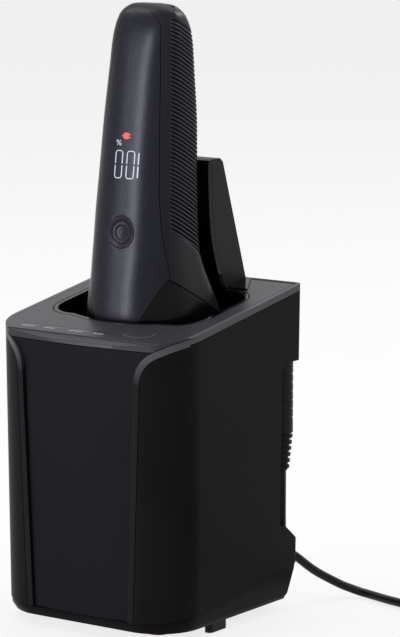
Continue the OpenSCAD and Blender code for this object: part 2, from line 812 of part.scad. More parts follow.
// A smooth line through hand-picked points
function spline(p, k, t) =
    let (n = len(p), a = p[max(k - 1, 0)], b = p[k], c = p[min(k + 1, n - 1)],
         d = p[min(k + 2, n - 1)])
    0.5 * ((2 * b) + (c - a) * t + (2 * a - 5 * b + 4 * c - d) * t * t
           + (3 * b - a - 3 * c + d) * t * t * t);
function unit(v) = v / norm(v);
// The direction of a line of points at each of them
function along(p) = [for (k = [0:len(p) - 1])
    unit(p[min(k + 1, len(p) - 1)] - p[max(k - 1, 0)])];
module tube(p, r, n) {
    d = along(p);
    pts = [for (k = [0:len(p) - 1]) each tube_ring(p[k], d[k], r, n)];
    m = len(p);
    polyhedron(pts, concat(
        [[for (k = [0:n - 1]) k]],
        [for (j = [0:m - 2], k = [0:n - 1]) each [
            [j * n + k, (j + 1) * n + k, (j + 1) * n + (k + 1) % n],
            [j * n + k, (j + 1) * n + (k + 1) % n, j * n + (k + 1) % n]]],
        [[for (k = [n - 1:-1:0]) (m - 1) * n + k]]));
}
// One ring of a tube around a point, square to the direction d. The lead never runs along the
// direction that the rings are turned from, whether it hangs or lies flat.
function tube_ring(p, d, r, n) =
    let (u = unit(cross(d, unit([-0.5, 1, 0.35]))), v = unit(cross(u, d)))
    [for (k = [0:n - 1]) p + r * (cos(360 * (k + 0.5) / n) * u + sin(360 * (k + 0.5) / n) * v)];

// The coil: layers of turns that spiral in and out, wound clockwise
coil_at = [plug_x + 91.6, plug_y + 16.5];
coil_start = 135;
coil_layers = 4;
pitch = cord_d + 0.5;
loop_rings = 24;
layer_steps = coil_turns * loop_rings;
last_steps = loop_rings * coil_start / 360; // the last turn ends beside the adaptor
coil_steps = coil_layers * layer_steps + last_steps;
// Turns that have been wound at step k, counted in layers
function wound(k) = k / layer_steps;
function coil_radius(k) =
    let (w = wound(k), l = min(floor(w), coil_layers - 1), share = w - l, s = l % 2 == 0 ? share : 1 - share)
    coil_r + pitch * coil_turns * (0.5 - s);
// The lead climbs a layer in the half turn around each place where the spiral reverses
function coil_height(k) =
    let (w = wound(k), l = round(w), turn = (w - l) * coil_turns)
    cord_z + pitch * (l < 1 ? 0 : l > coil_layers - 1 ? coil_layers - 1
        : l - 0.5 + max(-0.5, min(0.5, 2 * turn)));
function coil_point(k) =
    let (a = coil_start - 360 * k / loop_rings)
    [coil_at[0] + coil_radius(k) * cos(a), coil_at[1] + coil_radius(k) * sin(a), coil_height(k)];
coil_heading = [sin(coil_start), -cos(coil_start), 0];
coil_join = coil_point(0) - 2 * cord_d * coil_heading; // the stretch meets the coil here
adaptor_z = cord_z + pitch * (coil_layers - 1);
tail_len = 16;
coil_tail = [for (d = [0.5, 1]) coil_point(coil_steps) - [0, d * tail_len, 0]];
coil_line = concat([coil_join, coil_point(0) - cord_d * coil_heading],
    [for (k = [0:coil_steps]) coil_point(k)], coil_tail);
coil_gap = min([for (i = [0:len(coil_line) - 1], j = [i + 7:1:len(coil_line) - 1])
    norm(coil_line[i] - coil_line[j])]) - cord_d;
echo(coil_gap = coil_gap);

stretch_points = concat(cord_points, [coil_join - cord_d * coil_heading, coil_join]);
cord_line = concat([for (k = [0:len(stretch_points) - 3], t = [0, 0.5]) spline(stretch_points, k, t)],
    [coil_join - cord_d * coil_heading, coil_join]);
module cord_stretch() {
    color("#0d0d0e") tube(cord_line, cord_d / 2, 8);
}
module cord_coil() {
    color("#0d0d0e") tube(coil_line, cord_d / 2, 6);
}

adaptor_x = coil_at[0] + coil_radius(coil_steps);
adaptor_y = coil_tail[1][1];   // the lead goes into its strain relief here
adaptor_w = 28;
adaptor_l = 60;
adaptor_h = 2 * adaptor_z;
adaptor_relief = 14;
adaptor_r = 5;
module adaptor_body() {
    color("#111112") translate([adaptor_x, adaptor_y, 0]) {
        translate([0, -adaptor_relief - adaptor_l, 0]) linear_extrude(adaptor_h) {
            translate([-adaptor_w / 2, adaptor_r]) square([adaptor_w, adaptor_l - 2 * adaptor_r]);
            translate([-adaptor_w / 2 + adaptor_r, 0]) square([adaptor_w - 2 * adaptor_r, adaptor_l]);
            for (x = [-1, 1], y = [adaptor_r, adaptor_l - adaptor_r])
                translate([x * (adaptor_w / 2 - adaptor_r), y]) circle(adaptor_r);
        }
        translate([0, 0, adaptor_z]) rotate([90, 0, 0])
            cylinder(r1 = cord_d / 2 + 0.4, r2 = cord_d / 2 + 2, h = adaptor_relief + 1);
    }
}
prong_l = 17;
prong_w = 6.3;
prong_t = 1.5;
prong_pitch = 12.7;
module adaptor_prongs() {
    color("#c4c6c9") for (s = [-1, 1])
        translate([adaptor_x - prong_t / 2 + s * prong_pitch / 2,
                   adaptor_y - adaptor_relief - adaptor_l - prong_l, adaptor_z - prong_w / 2])
            cube([prong_t, prong_l, prong_w]);
}

// ---- shaver ----

// The handle's own frame: x across, y from the front line to the back, z along the handle
module handle() {
    translate([0, sh_y, front_h]) rotate([-lean, 0, 0]) children();
}
// Sections of the handle from the neck up: place, half width, front line, back line, and the
// radii of the front and the back corners
neck_end = -14;
sections = [[neck_end, 25.4, 7.5, 44, 21, 12], [-4, 25.4, 2.9, 47.5, 21, 10],
    [4, 25, 0.2, 47, 20.5, 9], [12, 23.4, 0, 44, 18.5, 9], [20, 21.8, 0, 39.5, 16.6, 8.5],
    [28, 20.6, 0, 34.8, 14.4, 8], [36, 20.1, 0, 31.6, 13.6, 8], [48, 20, 0, 29.3, 13.6, 8],
    [66, 19.4, 0, 27.6, 13.4, 8], [86, 18.6, 0.2, 26.1, 12.4, 8], [104, 17.3, 0.7, 24, 10.9, 8],
    [sh_top - 13, 16.2, 1.8, 22.2, 8.7, 8], [sh_top - 5, 14, 3.8, 19.8, 6.4, 7.4],
    [sh_top - 1, 9.7, 6.6, 16.9, 3.6, 4.6], [sh_top, 4.8, 9.4, 15.2, 1.6, 2.2]];
corner_steps = 6;
least_corner = 0.6;
// A rounded oblong: half width a, from front line b to back line c, corners rf and rb
function oblong(a, b, c, rf, rb) = [for (q = [0:3], k = [0:corner_steps])
    let (t = 90 * (q + k / corner_steps), r = q < 2 ? rb : rf,
         x = (q == 0 || q == 3 ? 1 : -1) * (a - r), y = (q < 2 ? c - r : b + r))
    [x + r * cos(t), y + r * sin(t)]];
// A corner of a section drawn in by i, which fits into the section's depth
function corner(r, s, i) = min(max(r - i, least_corner), (s[3] - s[2]) / 2 - i - 0.05);
// The handle's solid form, drawn in by i; its rounded top sinks a little less than its sides
module loft(i = 0) {
    rows = [for (s = sections) [s[0] - (s[0] > sh_top - 6 ? i * 0.9 : 0),
        oblong(s[1] - i, s[2] + i, s[3] - i, corner(s[4], s, i), corner(s[5], s, i))]];
    n = 4 * (corner_steps + 1);
    m = len(rows);
    polyhedron([for (r = rows, p = r[1]) [p[0], p[1], r[0]]], concat(
        [[for (k = [0:n - 1]) k]],
        [for (j = [0:m - 2], k = [0:n - 1]) each [
            [j * n + k, (j + 1) * n + (k + 1) % n, j * n + (k + 1) % n],
            [j * n + k, (j + 1) * n + k, (j + 1) * n + (k + 1) % n]]],
        [[for (k = [n - 1:-1:0]) (m - 1) * n + k]]));
}

neck_top = 21.6; // the glossy neck reaches up to here beside the panel
// Front view of the front panel: one half, from its top down to the neck
panel_half = [[0, sh_top - 3.2], [2.2, sh_top - 3.8], [5, sh_top - 4.9], [7, sh_top - 6],
              [8.6, sh_top - 7.6], [9.6, sh_top - 10], [10.6, sh_top - 14.6], [11.7, sh_top - 25],
              [12.6, 94], [13.5, 80], [14.3, 67], [15, 55], [15.9, 47], [16.8, 39.6],
              [18, 31.4], [19.2, 24], [19.3, neck_top], [17.4, 17.4], [14.8, 11.2], [12.2, 6],
              [8.8, 0.4], [0, 0.4]];
module panel_plan(g = 0) {
    offset(delta = g) for (s = [0, 1]) mirror([s, 0]) polygon(panel_half);
}
module panel_cut(g = 0) {
    rotate([90, 0, 0]) translate([0, 0, -11]) linear_extrude(40) panel_plan(g);
}

// The neck: everything below a line that falls from the panel's corner to the back
neck_fall = 0.42;
neck_corner_y = 8;
module neck_cut(g = 0) {
    rotate([90, 0, 90]) translate([0, 0, -40]) linear_extrude(80)
        polygon([[-9, -30], [-9, neck_top + g], [neck_corner_y, neck_top + g],
                 [60, neck_top - (60 - neck_corner_y) * neck_fall + g], [60, -30]]);
}

grip_front = 4.6; // front edge of the grips, behind the handle's front line
grip_foot = 40.4; // lower front corner of the grips
grip_fall = 0.38; // how steeply the ribs, and the grips' lower edge, fall to the back
grip_in = 10;     // inner edge of the grips at the back of the handle
grip_depth = 1;
module grip_zone(g = 0) {
    // the side of the handle, from near its top down to the lowest rib
    rotate([90, 0, 90]) translate([0, 0, grip_in]) linear_extrude(40) offset(delta = g)
        polygon([[grip_front + 1.6, sh_top - 5], [grip_front + 0.2, sh_top - 9],
                 [grip_front, sh_top - 25], [grip_front + 0.7, 83], [grip_front + 1.7, 61],
                 [grip_front + 2.6, 45], [grip_front + 3.6, grip_foot],
                 [40, grip_foot - (40 - grip_front - 3.6) * grip_fall], [40, 60],
                 [28, sh_top - 13], [19, sh_top - 5]]);
}

module shaver_front_panel() {
    color("#3d3f45") handle() difference() {
        intersection() {
            loft();
            panel_cut(-0.15);
        }
        loft(sh_wall);
        translate([0, -5, power_w]) rotate([-90, 0, 0]) cylinder(r = ring_r + 0.1, h = 20);
        translate([0, -5, display_w]) rotate([-90, 0, 0])
            linear_extrude(20) square([window_w + 0.2, window_l + 0.2], center = true);
    }
}
window_w = 15;
window_l = 26;
module display_window() {
    color("#15161a") handle() translate([-window_w / 2, 0.1, display_w - window_l / 2])
        cube([window_w, sh_wall, window_l]);
}
ring_l = sh_wall + 0.8;
module button_ring() {
    color("#26272b") handle() translate([0, 0.1, power_w]) rotate([-90, 0, 0]) difference() {
        cylinder(r = ring_r, h = ring_l);
        translate([0, 0, -1]) cylinder(r = power_r + 0.06, h = 9);
    }
}
power_back = ring_l + 0.1 + fit + 0.9; // back of the button, with the flange that keeps it in
module power_button() {
    color("#2b2c31") handle() translate([0, 0, power_w]) rotate([-90, 0, 0]) {
        translate([0, 0, 0.15]) cylinder(r = power_r, h = power_back - 0.15);
        translate([0, 0, power_back - 0.9]) cylinder(r = power_r + 0.8, h = 0.9);
    }
}
module shaver_housing() {
    color("#222327") handle() difference() {
        loft();
        loft(sh_wall);
        panel_cut(0.15);
        neck_cut(0.2);
        for (s = [0, 1]) mirror([s, 0, 0]) difference() {
            grip_zone(0.1);
            loft(grip_depth + 0.1);
        }
        for (s = [-1, 1]) translate([s * contact_x, 20, contact_w])
            rotate([-90, 0, 0]) cylinder(r = contact_r + 0.4, h = 20);
    }
}
module grip_right() {
    handle() difference() {
        intersection() {
            loft();
            grip_zone(-0.1);
        }
        loft(grip_depth);
        neck_cut(0.3);
    }
}
module right_grip() color("#1b1b1d") grip_right();
module left_grip() color("#1b1b1d") mirror([1, 0, 0]) grip_right();

neck_t = 3; // floor of the neck
module shaver_neck() {
    color("#0b0b0d") difference() {
        handle() intersection() {
            loft();
            neck_cut(0);
        }
        difference() {
            handle() loft(sh_wall + 0.3);
            translate([-40, -60, 0]) cube([80, 120, neck_z + neck_t]);
        }
        translate([-40, -60, 0]) cube([80, 120, neck_z]);
        handle() panel_cut(0.15);
    }
}

contact_w = 56;
module charge_terminals() {
    color("#c9b27a") handle() for (s = [-1, 1])
        translate([s * contact_x, 25.2, contact_w]) rotate([-90, 0, 0]) cylinder(r = contact_r, h = 3);
}
board_y = 6.2;
board_t = 1.6;
module shaver_board() {
    color("#1f5b34") handle() translate([-11, board_y, 22]) cube([22, board_t, 84]);
    // the switch ends where the pressed button stops
    color("#2b2b2e") handle() translate([-2.5, power_back + press + fit, power_w - 2.5])
        cube([5, board_y - power_back - press - fit, 5]);
}
battery_r = 6.8;
module shaver_battery() {
    color("#5b7f4a") handle() translate([0, board_y + board_t + snug + battery_r, 54])
        cylinder(r = battery_r, h = 48);
}
module shaver_motor() {
    color("#9a9da1") handle() translate([-13, board_y + board_t + snug, 13]) cube([26, 17, 23]);
}

// ---- shaving head ----

pivot_z = 101;
pin_r = 1.5;
module head_pivot_pin() {
    // the pin, and the two brackets that hold it under the neck
    color("#b9bcc0") translate([0, -10, pivot_z]) rotate([-90, 0, 0]) cylinder(r = pin_r, h = 30);
    color("#b9bcc0") for (y = [-9.8, 16])
        translate([-3, y, pivot_z - 1]) cube([6, 3.4, neck_z - pivot_z + 1]);
}
head_hw = 22.4;
head_front = -12;
head_back = 22;
head_r = 8; // corners of the head, seen from above
// Side view of the head: it narrows towards the foils
head_side = [[head_front, 98.8], [head_back, 98.8], [21.4, 92], [19.6, 86], [-6.4, 86], [-10.2, 92]];
module head_plan() {
    translate([-head_hw, head_front + head_r]) square([2 * head_hw, head_back - head_front - 2 * head_r]);
    translate([-head_hw + head_r, head_front]) square([2 * (head_hw - head_r), head_back - head_front]);
    for (x = [-1, 1], y = [head_front + head_r, head_back - head_r])
        translate([x * (head_hw - head_r), y]) circle(head_r);
}
hub_r = 4;
hub_y = -5.6;
hub_l = 20.4;
module head_frame() {
    color("#1a1b1e") difference() {
        union() {
            intersection() {
                rotate([90, 0, 90]) translate([0, 0, -head_hw]) linear_extrude(2 * head_hw)
                    polygon(head_side);
                rotate([90, 0, 0]) translate([0, 0, -40]) linear_extrude(80)
                    polygon([[-head_hw, 86], [head_hw, 86], [head_hw, 95.2], [4, 98.8], [-4, 98.8],
                             [-head_hw, 95.2]]);
                translate([0, 0, 80]) linear_extrude(30) head_plan();
            }
            translate([-hub_r, hub_y, 98]) cube([2 * hub_r, hub_l, pivot_z - 98]);
            translate([0, hub_y, pivot_z]) rotate([-90, 0, 0]) cylinder(r = hub_r, h = hub_l);
        }
        translate([0, -30, pivot_z]) rotate([-90, 0, 0]) cylinder(r = pin_r + 0.05, h = 70);
        translate([-cassette_hw - snug, -5, 80]) cube([2 * (cassette_hw + snug), 23, 14]);
    }
}
cassette_hw = 19.4;
foil_y = [-1.4, 6.6, 14.6];
foil_z = 85.6;
foil_r = 3.4;
foil_hw = 18;
module foil_cassette() {
    color("#c8cacd") difference() {
        union() {
            translate([-cassette_hw, -4.8, foil_z + 0.6]) cube([2 * cassette_hw, 22.6, 4.4]);
            for (y = foil_y) translate([-foil_hw, y, foil_z]) rotate([0, 90, 0])
                cylinder(r = foil_r, h = 2 * foil_hw);
        }
        for (y = foil_y) translate([-foil_hw + 0.6, y, foil_z]) rotate([0, 90, 0])
            cylinder(r = foil_r - 0.3, h = 2 * foil_hw - 1.2);
        for (y = foil_y) translate([-foil_hw + 0.6, y - foil_r + 0.4, foil_z])
            cube([2 * foil_hw - 1.2, 2 * foil_r - 0.8, 9]);
    }
}
blade_hw = 15.8;
bridge_z = 91.2; // the bar that drives the blades runs above the cassette
module inner_blades() {
    color("#aeb1b5") {
        for (y = foil_y) difference() {
            union() {
                translate([-blade_hw, y, foil_z]) rotate([0, 90, 0])
                    cylinder(r = foil_r - 0.6, h = 2 * blade_hw);
                translate([-4, y - 1.2, foil_z]) cube([8, 2.4, bridge_z - foil_z + 0.4]);
            }
            for (k = [0:14]) translate([-14.5 + k * 2, y - 5, foil_z - 5]) cube([1, 10, 4.4]);
        }
        translate([-4, foil_y[0] - 1.2, bridge_z]) cube([8, foil_y[2] - foil_y[0] + 2.4, 1.4]);
    }
}

base_tray();
side_feet();
rubber_pads();
cartridge();
cartridge_cap();
left_side_panel();
right_side_panel();
left_trim_band();
right_trim_band();
front_panel();
top_deck();
upper_rear_cover();
back_panel();
lower_rear_cover();
wash_basin();
chassis();
post_front_cover();
post_rear_cover();
post_plinth();
charge_contacts();
select_button();
lamp_lenses();
control_board();
select_switch();
board_screws();
pump_motor();
pump_housing();
pump_impeller();
suction_tube();
supply_tube();
drain_tube();
fan_housing();
fan_wheel();
fan_motor();
power_inlet();
appliance_plug();
plug_strain_relief();
cord_stretch();
cord_coil();
adaptor_body();
adaptor_prongs();
shaver_front_panel();
shaver_housing();
left_grip();
right_grip();
display_window();
button_ring();
power_button();
shaver_board();
shaver_battery();
shaver_motor();
shaver_neck();
charge_terminals();
head_pivot_pin();
head_frame();
foil_cassette();
inner_blades();
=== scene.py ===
"""Dresses a shaver cleaning station and its docked shaver with finishes and fine forms."""
import json
from bisect import bisect_left
from math import ceil, cos, hypot, pi, radians, sin, tan

import bpy
import numpy as np
from bpy.props import FloatProperty, FloatVectorProperty, IntProperty, PointerProperty
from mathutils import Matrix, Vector


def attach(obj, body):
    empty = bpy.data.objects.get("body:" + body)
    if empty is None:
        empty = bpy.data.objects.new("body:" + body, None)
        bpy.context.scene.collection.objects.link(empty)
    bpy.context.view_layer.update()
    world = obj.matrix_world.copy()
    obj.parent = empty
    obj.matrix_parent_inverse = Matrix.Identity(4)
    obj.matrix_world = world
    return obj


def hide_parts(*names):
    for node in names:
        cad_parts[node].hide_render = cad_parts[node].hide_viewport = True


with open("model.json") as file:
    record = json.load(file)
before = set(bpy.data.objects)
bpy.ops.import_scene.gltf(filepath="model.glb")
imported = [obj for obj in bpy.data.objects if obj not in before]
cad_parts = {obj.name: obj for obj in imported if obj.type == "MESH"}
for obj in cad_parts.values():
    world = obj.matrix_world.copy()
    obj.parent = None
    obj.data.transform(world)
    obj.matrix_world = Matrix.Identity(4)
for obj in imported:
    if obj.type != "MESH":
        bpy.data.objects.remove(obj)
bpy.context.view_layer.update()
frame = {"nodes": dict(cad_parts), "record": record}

bl_info = {
    "name": "Shaver Cleaning Station",
    "version": (1, 0, 0),
    "blender": (4, 5, 0),
    "location": "3D View > Sidebar > Station",
    "description": "Builds the finishes and fine forms of a shaver cleaning station",
    "category": "Object",
}

MM = 0.001


# ---- settings ----

def length(name, text, default):
    return FloatProperty(name=name, description=text, default=default, unit="LENGTH", precision=5)


def colour(name, text, default):
    return FloatVectorProperty(name=name, description=text, default=default, subtype="COLOR",
                               size=3, min=0.0, max=1.0)


class StationSizes(bpy.types.PropertyGroup):
    edge: length("Edge round", "Rounding of the moulded edges", 0.0004)
    # Below this height the trim bands' painted highlight fades to dark.
    band_highlight_fade: length("Band fade", "Height at which the trim bands turn dark", 0.1035)
    post_round: length("Post round", "Rounding of the long edges of the charging post", 0.0014)
    grain: length("Grain", "Size of the moulded grain", 0.00035)


class ShaverSizes(bpy.types.PropertyGroup):
    seam: length("Seam", "Gap around the front panel", 0.00028)
    rib_pitch: length("Rib pitch", "Distance from one grip rib to the next", 0.00165)
    rib_height: length("Rib height", "Height of the grip ribs", 0.00072)
    grip_sink: length("Grip sink", "How deep the shell is sunk under the grips", 0.001)
    shell: length("Shell", "Wall of the handle's shells", 0.0015)
    digit_height: length("Digit height", "Height of the display's digits", 0.0109)


class LeadSizes(bpy.types.PropertyGroup):
    width: length("Width", "Width of the lead", 0.0036)
    coil_radius: length("Coil radius", "Radius of the coil's middle turn", 0.02)
    turns: IntProperty(name="Turns", description="Turns in each layer of the coil", default=3)
    layers: IntProperty(name="Layers", description="Layers of the coil", default=4)


class StationColours(bpy.types.PropertyGroup):
    housing: colour("Housing", "Sides and rear covers", (0.0062, 0.0063, 0.0072))
    front: colour("Front", "Front panel", (0.0072, 0.0073, 0.0102))
    # band: the colour of the painted highlight on the bands' upper part.
    band: colour("Band", "Light upper part of the trim bands", (0.085, 0.087, 0.092))
    deck: colour("Deck", "Top of the housing", (0.026, 0.027, 0.032))
    gloss: colour("Gloss black", "Well, plinth, post front and neck", (0.0022, 0.0022, 0.0028))
    panel: colour("Shaver panel", "Metallic front panel of the shaver", (0.0115, 0.0118, 0.0185))
    shell: colour("Shaver shell", "Satin shell of the shaver", (0.012, 0.0124, 0.015))
    grip: colour("Grip", "Rubber grips", (0.0072, 0.0077, 0.0104))
    rubber: colour("Rubber", "Feet, plug and strain relief", (0.012, 0.012, 0.013))
    display: colour("Display", "Lit digits", (0.72, 0.78, 0.95))
    charge: colour("Charge mark", "Lit charging mark", (0.75, 0.03, 0.035))
    ink: colour("Ink", "Printed marks", (0.34, 0.35, 0.37))


def brightness(name, text, default):
    return FloatProperty(name=name, description=text, default=default, min=0.0)


class StudioSettings(bpy.types.PropertyGroup):
    top: brightness("Top light", "Power of the overhead panel", 12.0)
    left: brightness("Left light", "Power of the left panel", 5.0)
    front: brightness("Front light", "Power of the tall front strip", 13.0)
    back: brightness("Back light", "Power of the strip behind", 5.0)
    right: brightness("Right light", "Power of the right strip", 3.0)
    room: brightness("Room", "Strength of the even room light", 0.32)


# ---- finishes ----

def new_group(name, inputs, outputs):
    """A node group that reads a place and numbers, and puts out masks and heights."""
    group = bpy.data.node_groups.new(name, "ShaderNodeTree")
    group.interface.new_socket("Place", in_out="INPUT", socket_type="NodeSocketVector")
    for label in inputs:
        group.interface.new_socket(label, in_out="INPUT", socket_type="NodeSocketFloat")
    for label in outputs:
        group.interface.new_socket(label, in_out="OUTPUT", socket_type="NodeSocketFloat")
    return group, group.nodes.new("NodeGroupInput"), group.nodes.new("NodeGroupOutput")


def math_of(tree, operation, a, b):
    """One Math node; a and b are sockets or numbers."""
    node = tree.nodes.new("ShaderNodeMath")
    node.operation = operation
    for socket, value in zip(node.inputs, (a, b)):
        if isinstance(value, (int, float)):
            socket.default_value = value
        else:
            tree.links.new(value, socket)
    return node.outputs[0]


def noise(tree, place, scale, detail, roughness=0.5):
    """The grey value of a noise at a place."""
    node = tree.nodes.new("ShaderNodeTexNoise")
    node.inputs["Detail"].default_value = detail
    node.inputs["Roughness"].default_value = roughness
    tree.links.new(place, node.inputs["Vector"])
    if isinstance(scale, (int, float)):
        node.inputs["Scale"].default_value = scale
    else:
        tree.links.new(scale, node.inputs["Scale"])
    return node.outputs["Fac"]


def spread(tree, value, low, high, to_low, to_high):
    """Maps low..high to to_low..to_high, clamped."""
    node = tree.nodes.new("ShaderNodeMapRange")
    tree.links.new(value, node.inputs["Value"])
    for label, number in (("From Min", low), ("From Max", high), ("To Min", to_low),
                          ("To Max", to_high)):
        if isinstance(number, (int, float)):
            node.inputs[label].default_value = number
        else:
            tree.links.new(number, node.inputs[label])
    return node.outputs["Result"]


def make_groups():
    """Builds the shared surface effects once."""
    # moulded grain: fine pits, and a slow drift of tone
    group, start, end = new_group("Moulded Grain", ["Grain Scale", "Drift Scale"],
                                  ["Height", "Drift"])
    fine = noise(group, start.outputs["Place"], start.outputs["Grain Scale"], 2.0)
    slow = noise(group, start.outputs["Place"], start.outputs["Drift Scale"], 3.0)
    group.links.new(fine, end.inputs["Height"])
    group.links.new(spread(group, slow, 0.35, 0.65, 0.0, 1.0), end.inputs["Drift"])

    # handling: soft smudges and a few specks of dust
    group, start, end = new_group("Handling Marks", ["Amount"], ["Smudge", "Dust"])
    wipe = noise(group, start.outputs["Place"], 45.0, 4.0, 0.6)
    amount = start.outputs["Amount"]
    group.links.new(spread(group, wipe, 0.5, 0.72, 0.0, amount), end.inputs["Smudge"])
    cells = group.nodes.new("ShaderNodeTexVoronoi")
    cells.inputs["Scale"].default_value = 420.0
    group.links.new(start.outputs["Place"], cells.inputs["Vector"])
    group.links.new(spread(group, cells.outputs["Distance"], 0.05, 0.09, amount, 0.0),
                    end.inputs["Dust"])

    # metal flake: small facets that each catch the light a little differently
    group, start, end = new_group("Metal Flake", ["Flake Scale"], ["Tone", "Height"])
    flakes = group.nodes.new("ShaderNodeTexVoronoi")
    group.links.new(start.outputs["Place"], flakes.inputs["Vector"])
    group.links.new(start.outputs["Flake Scale"], flakes.inputs["Scale"])
    part = group.nodes.new("ShaderNodeSeparateColor")
    group.links.new(flakes.outputs["Color"], part.inputs[0])
    group.links.new(part.outputs[0], end.inputs["Tone"])
    group.links.new(part.outputs[1], end.inputs["Height"])

    # brushing: streaks that run along one axis of the place that is given
    group, start, end = new_group("Brushing", ["Streak Scale"], ["Streak"])
    streak = noise(group, start.outputs["Place"], start.outputs["Streak Scale"], 3.0, 0.6)
    group.links.new(streak, end.inputs["Streak"])


DRIFT_SCALE = 22.0
GRAIN_DEPTH = 0.00006
# Height over which the bands' painted highlight fades out.
HIGHLIGHT_FADE_HEIGHT = 0.011


class Finish:
    """A material in the making: its tree, its shader and the place that its patterns read."""

    def __init__(self, name, rough=0.4, metal=0.0, spec=0.5, coat=0.0, coat_rough=0.1):
        self.material = bpy.data.materials.new(name)
        self.material.use_nodes = True
        self.tree = self.material.node_tree
        self.shader = self.tree.nodes["Principled BSDF"]
        place = self.tree.nodes.new("ShaderNodeTexCoord")
        self.place = place.outputs["Object"]
        for label, value in (("Roughness", rough), ("Metallic", metal),
                             ("Specular IOR Level", spec), ("Coat Weight", coat),
                             ("Coat Roughness", coat_rough)):
            self.shader.inputs[label].default_value = value

    def stretched(self, scale):
        """The place, scaled along its axes, for streaks."""
        node = self.tree.nodes.new("ShaderNodeMapping")
        node.inputs["Scale"].default_value = scale
        self.tree.links.new(self.place, node.inputs["Vector"])
        return node.outputs["Vector"]

    def effect(self, name, place=None, **values):
        """Places a shared effect with its own values, and gives its outputs."""
        node = self.tree.nodes.new("ShaderNodeGroup")
        node.node_tree = bpy.data.node_groups[name]
        self.tree.links.new(place or self.place, node.inputs["Place"])
        for label, value in values.items():
            node.inputs[label.replace("_", " ")].default_value = value
        return node.outputs

    def grain(self, size, drift=DRIFT_SCALE):
        return self.effect("Moulded Grain", Grain_Scale=1.0 / size, Drift_Scale=drift)

    def paint(self, mask, low, high, socket="Base Color"):
        """A colour that runs from low, a colour or a socket, to high with the mask."""
        mix = self.tree.nodes.new("ShaderNodeMix")
        mix.data_type = "RGBA"
        if isinstance(low, bpy.types.NodeSocket):
            self.tree.links.new(low, mix.inputs["A"])
        else:
            mix.inputs["A"].default_value = (*low, 1)
        mix.inputs["B"].default_value = (*high, 1)
        self.tree.links.new(mask, mix.inputs["Factor"])
        self.tree.links.new(mix.outputs["Result"], self.shader.inputs[socket])
        return mix.outputs["Result"]

    def drive(self, socket, mask, from_low, from_high, low, high):
        """One of the shader's numbers, from low to high with the mask."""
        value = spread(self.tree, mask, from_low, from_high, low, high)
        self.tree.links.new(value, self.shader.inputs[socket])

    def roughen(self, mask, low, high):
        self.drive("Roughness", mask, 0.0, 1.0, low, high)

    def bump(self, height, strength, distance=GRAIN_DEPTH):
        node = self.tree.nodes.new("ShaderNodeBump")
        node.inputs["Strength"].default_value = strength
        node.inputs["Distance"].default_value = distance
        self.tree.links.new(height, node.inputs["Height"])
        self.tree.links.new(node.outputs["Normal"], self.shader.inputs["Normal"])


def tinted(rgb, share):
    return tuple(min(1.0, c * share) for c in rgb)


def moulded(name, rgb, rough, grain, depth, spec, marks, coat=0.0):
    """Moulded plastic or rubber: grain, slow drift of tone, faint handling."""
    finish = Finish(name, rough, spec=spec, coat=coat)
    surface = finish.grain(grain)
    touch = finish.effect("Handling Marks", Amount=marks)
    base = finish.paint(surface["Drift"], tinted(rgb, 0.9), tinted(rgb, 1.1))
    finish.paint(touch["Dust"], base, tinted(rgb, 1.9))
    finish.roughen(touch["Smudge"], rough, rough + 0.12)
    finish.bump(surface["Height"], depth)
    return finish.material


def band_with_painted_highlight(name, dark, light, rough, grain, fade):
    """The trim bands: dark below, with a painted highlight where they turn along the top towards
    the light.
    """
    finish = Finish(name, rough, spec=0.07)
    parts = finish.tree.nodes.new("ShaderNodeSeparateXYZ")
    finish.tree.links.new(finish.place, parts.inputs[0])
    # Painted highlight: the mask paints the lighter colour over the bands' top and fades it out
    # below.
    mask = spread(finish.tree, parts.outputs["Z"], fade, fade + HIGHLIGHT_FADE_HEIGHT, 0.0, 1.0)
    finish.paint(mask, dark, light)
    surface = finish.grain(grain)
    finish.roughen(surface["Drift"], rough, rough + 0.06)
    finish.bump(surface["Height"], 0.15)
    return finish.material


def ribbed(name, rgb, rough, grain):
    """Ribbed rubber: painted shade in the grooves, a painted highlight on the crests, and a little
    real gloss there.
    """
    finish = Finish(name, rough, spec=0.06, coat_rough=0.3)
    surface = finish.grain(grain)
    # The crest height from the grip's mesh drives the painted shade in the grooves and the painted
    # highlight on the crests.
    rib = finish.tree.nodes.new("ShaderNodeAttribute")
    rib.attribute_name = "rib"
    crest_highlight = spread(finish.tree, rib.outputs["Fac"], 0.2, 0.85, 0.0, 1.0)
    # Painted shade in the grooves, painted highlight on the crests.
    finish.paint(crest_highlight, tinted(rgb, 0.3), tinted(rgb, 2.6))
    finish.roughen(surface["Drift"], rough, rough + 0.08)
    finish.drive("Coat Weight", rib.outputs["Fac"], 0.6, 1.0, 0.0, 0.35)
    finish.bump(surface["Height"], 0.2)
    return finish.material


def polished(name, rgb, rough, spec, marks, coat):
    """Gloss black plastic with faint wipe marks under a clear skin."""
    finish = Finish(name, rough, spec=spec, coat=coat, coat_rough=0.05)
    touch = finish.effect("Handling Marks", Amount=marks)
    surface = finish.grain(1 / 160, 18.0)
    base = finish.paint(surface["Drift"], tinted(rgb, 0.85), tinted(rgb, 1.15))
    finish.paint(touch["Dust"], base, tinted(rgb, 6.0))
    finish.roughen(touch["Smudge"], rough, rough + 0.1)
    finish.bump(surface["Height"], 0.04, 0.0002)
    return finish.material


def flaked(name, rgb, rough, metal):
    """Metallic paint: flakes in a dark satin base."""
    finish = Finish(name, rough, metal, spec=0.15)
    flake = finish.effect("Metal Flake", Flake_Scale=5200.0)
    base = finish.paint(finish.grain(1 / 900, 16.0)["Drift"], tinted(rgb, 0.92), tinted(rgb, 1.08))
    finish.paint(spread(finish.tree, flake["Tone"], 0.7, 1.0, 0.0, 0.5), base, tinted(rgb, 2.4))
    finish.roughen(flake["Tone"], rough - 0.05, rough + 0.07)
    finish.bump(flake["Height"], 0.12, 0.00005)
    return finish.material


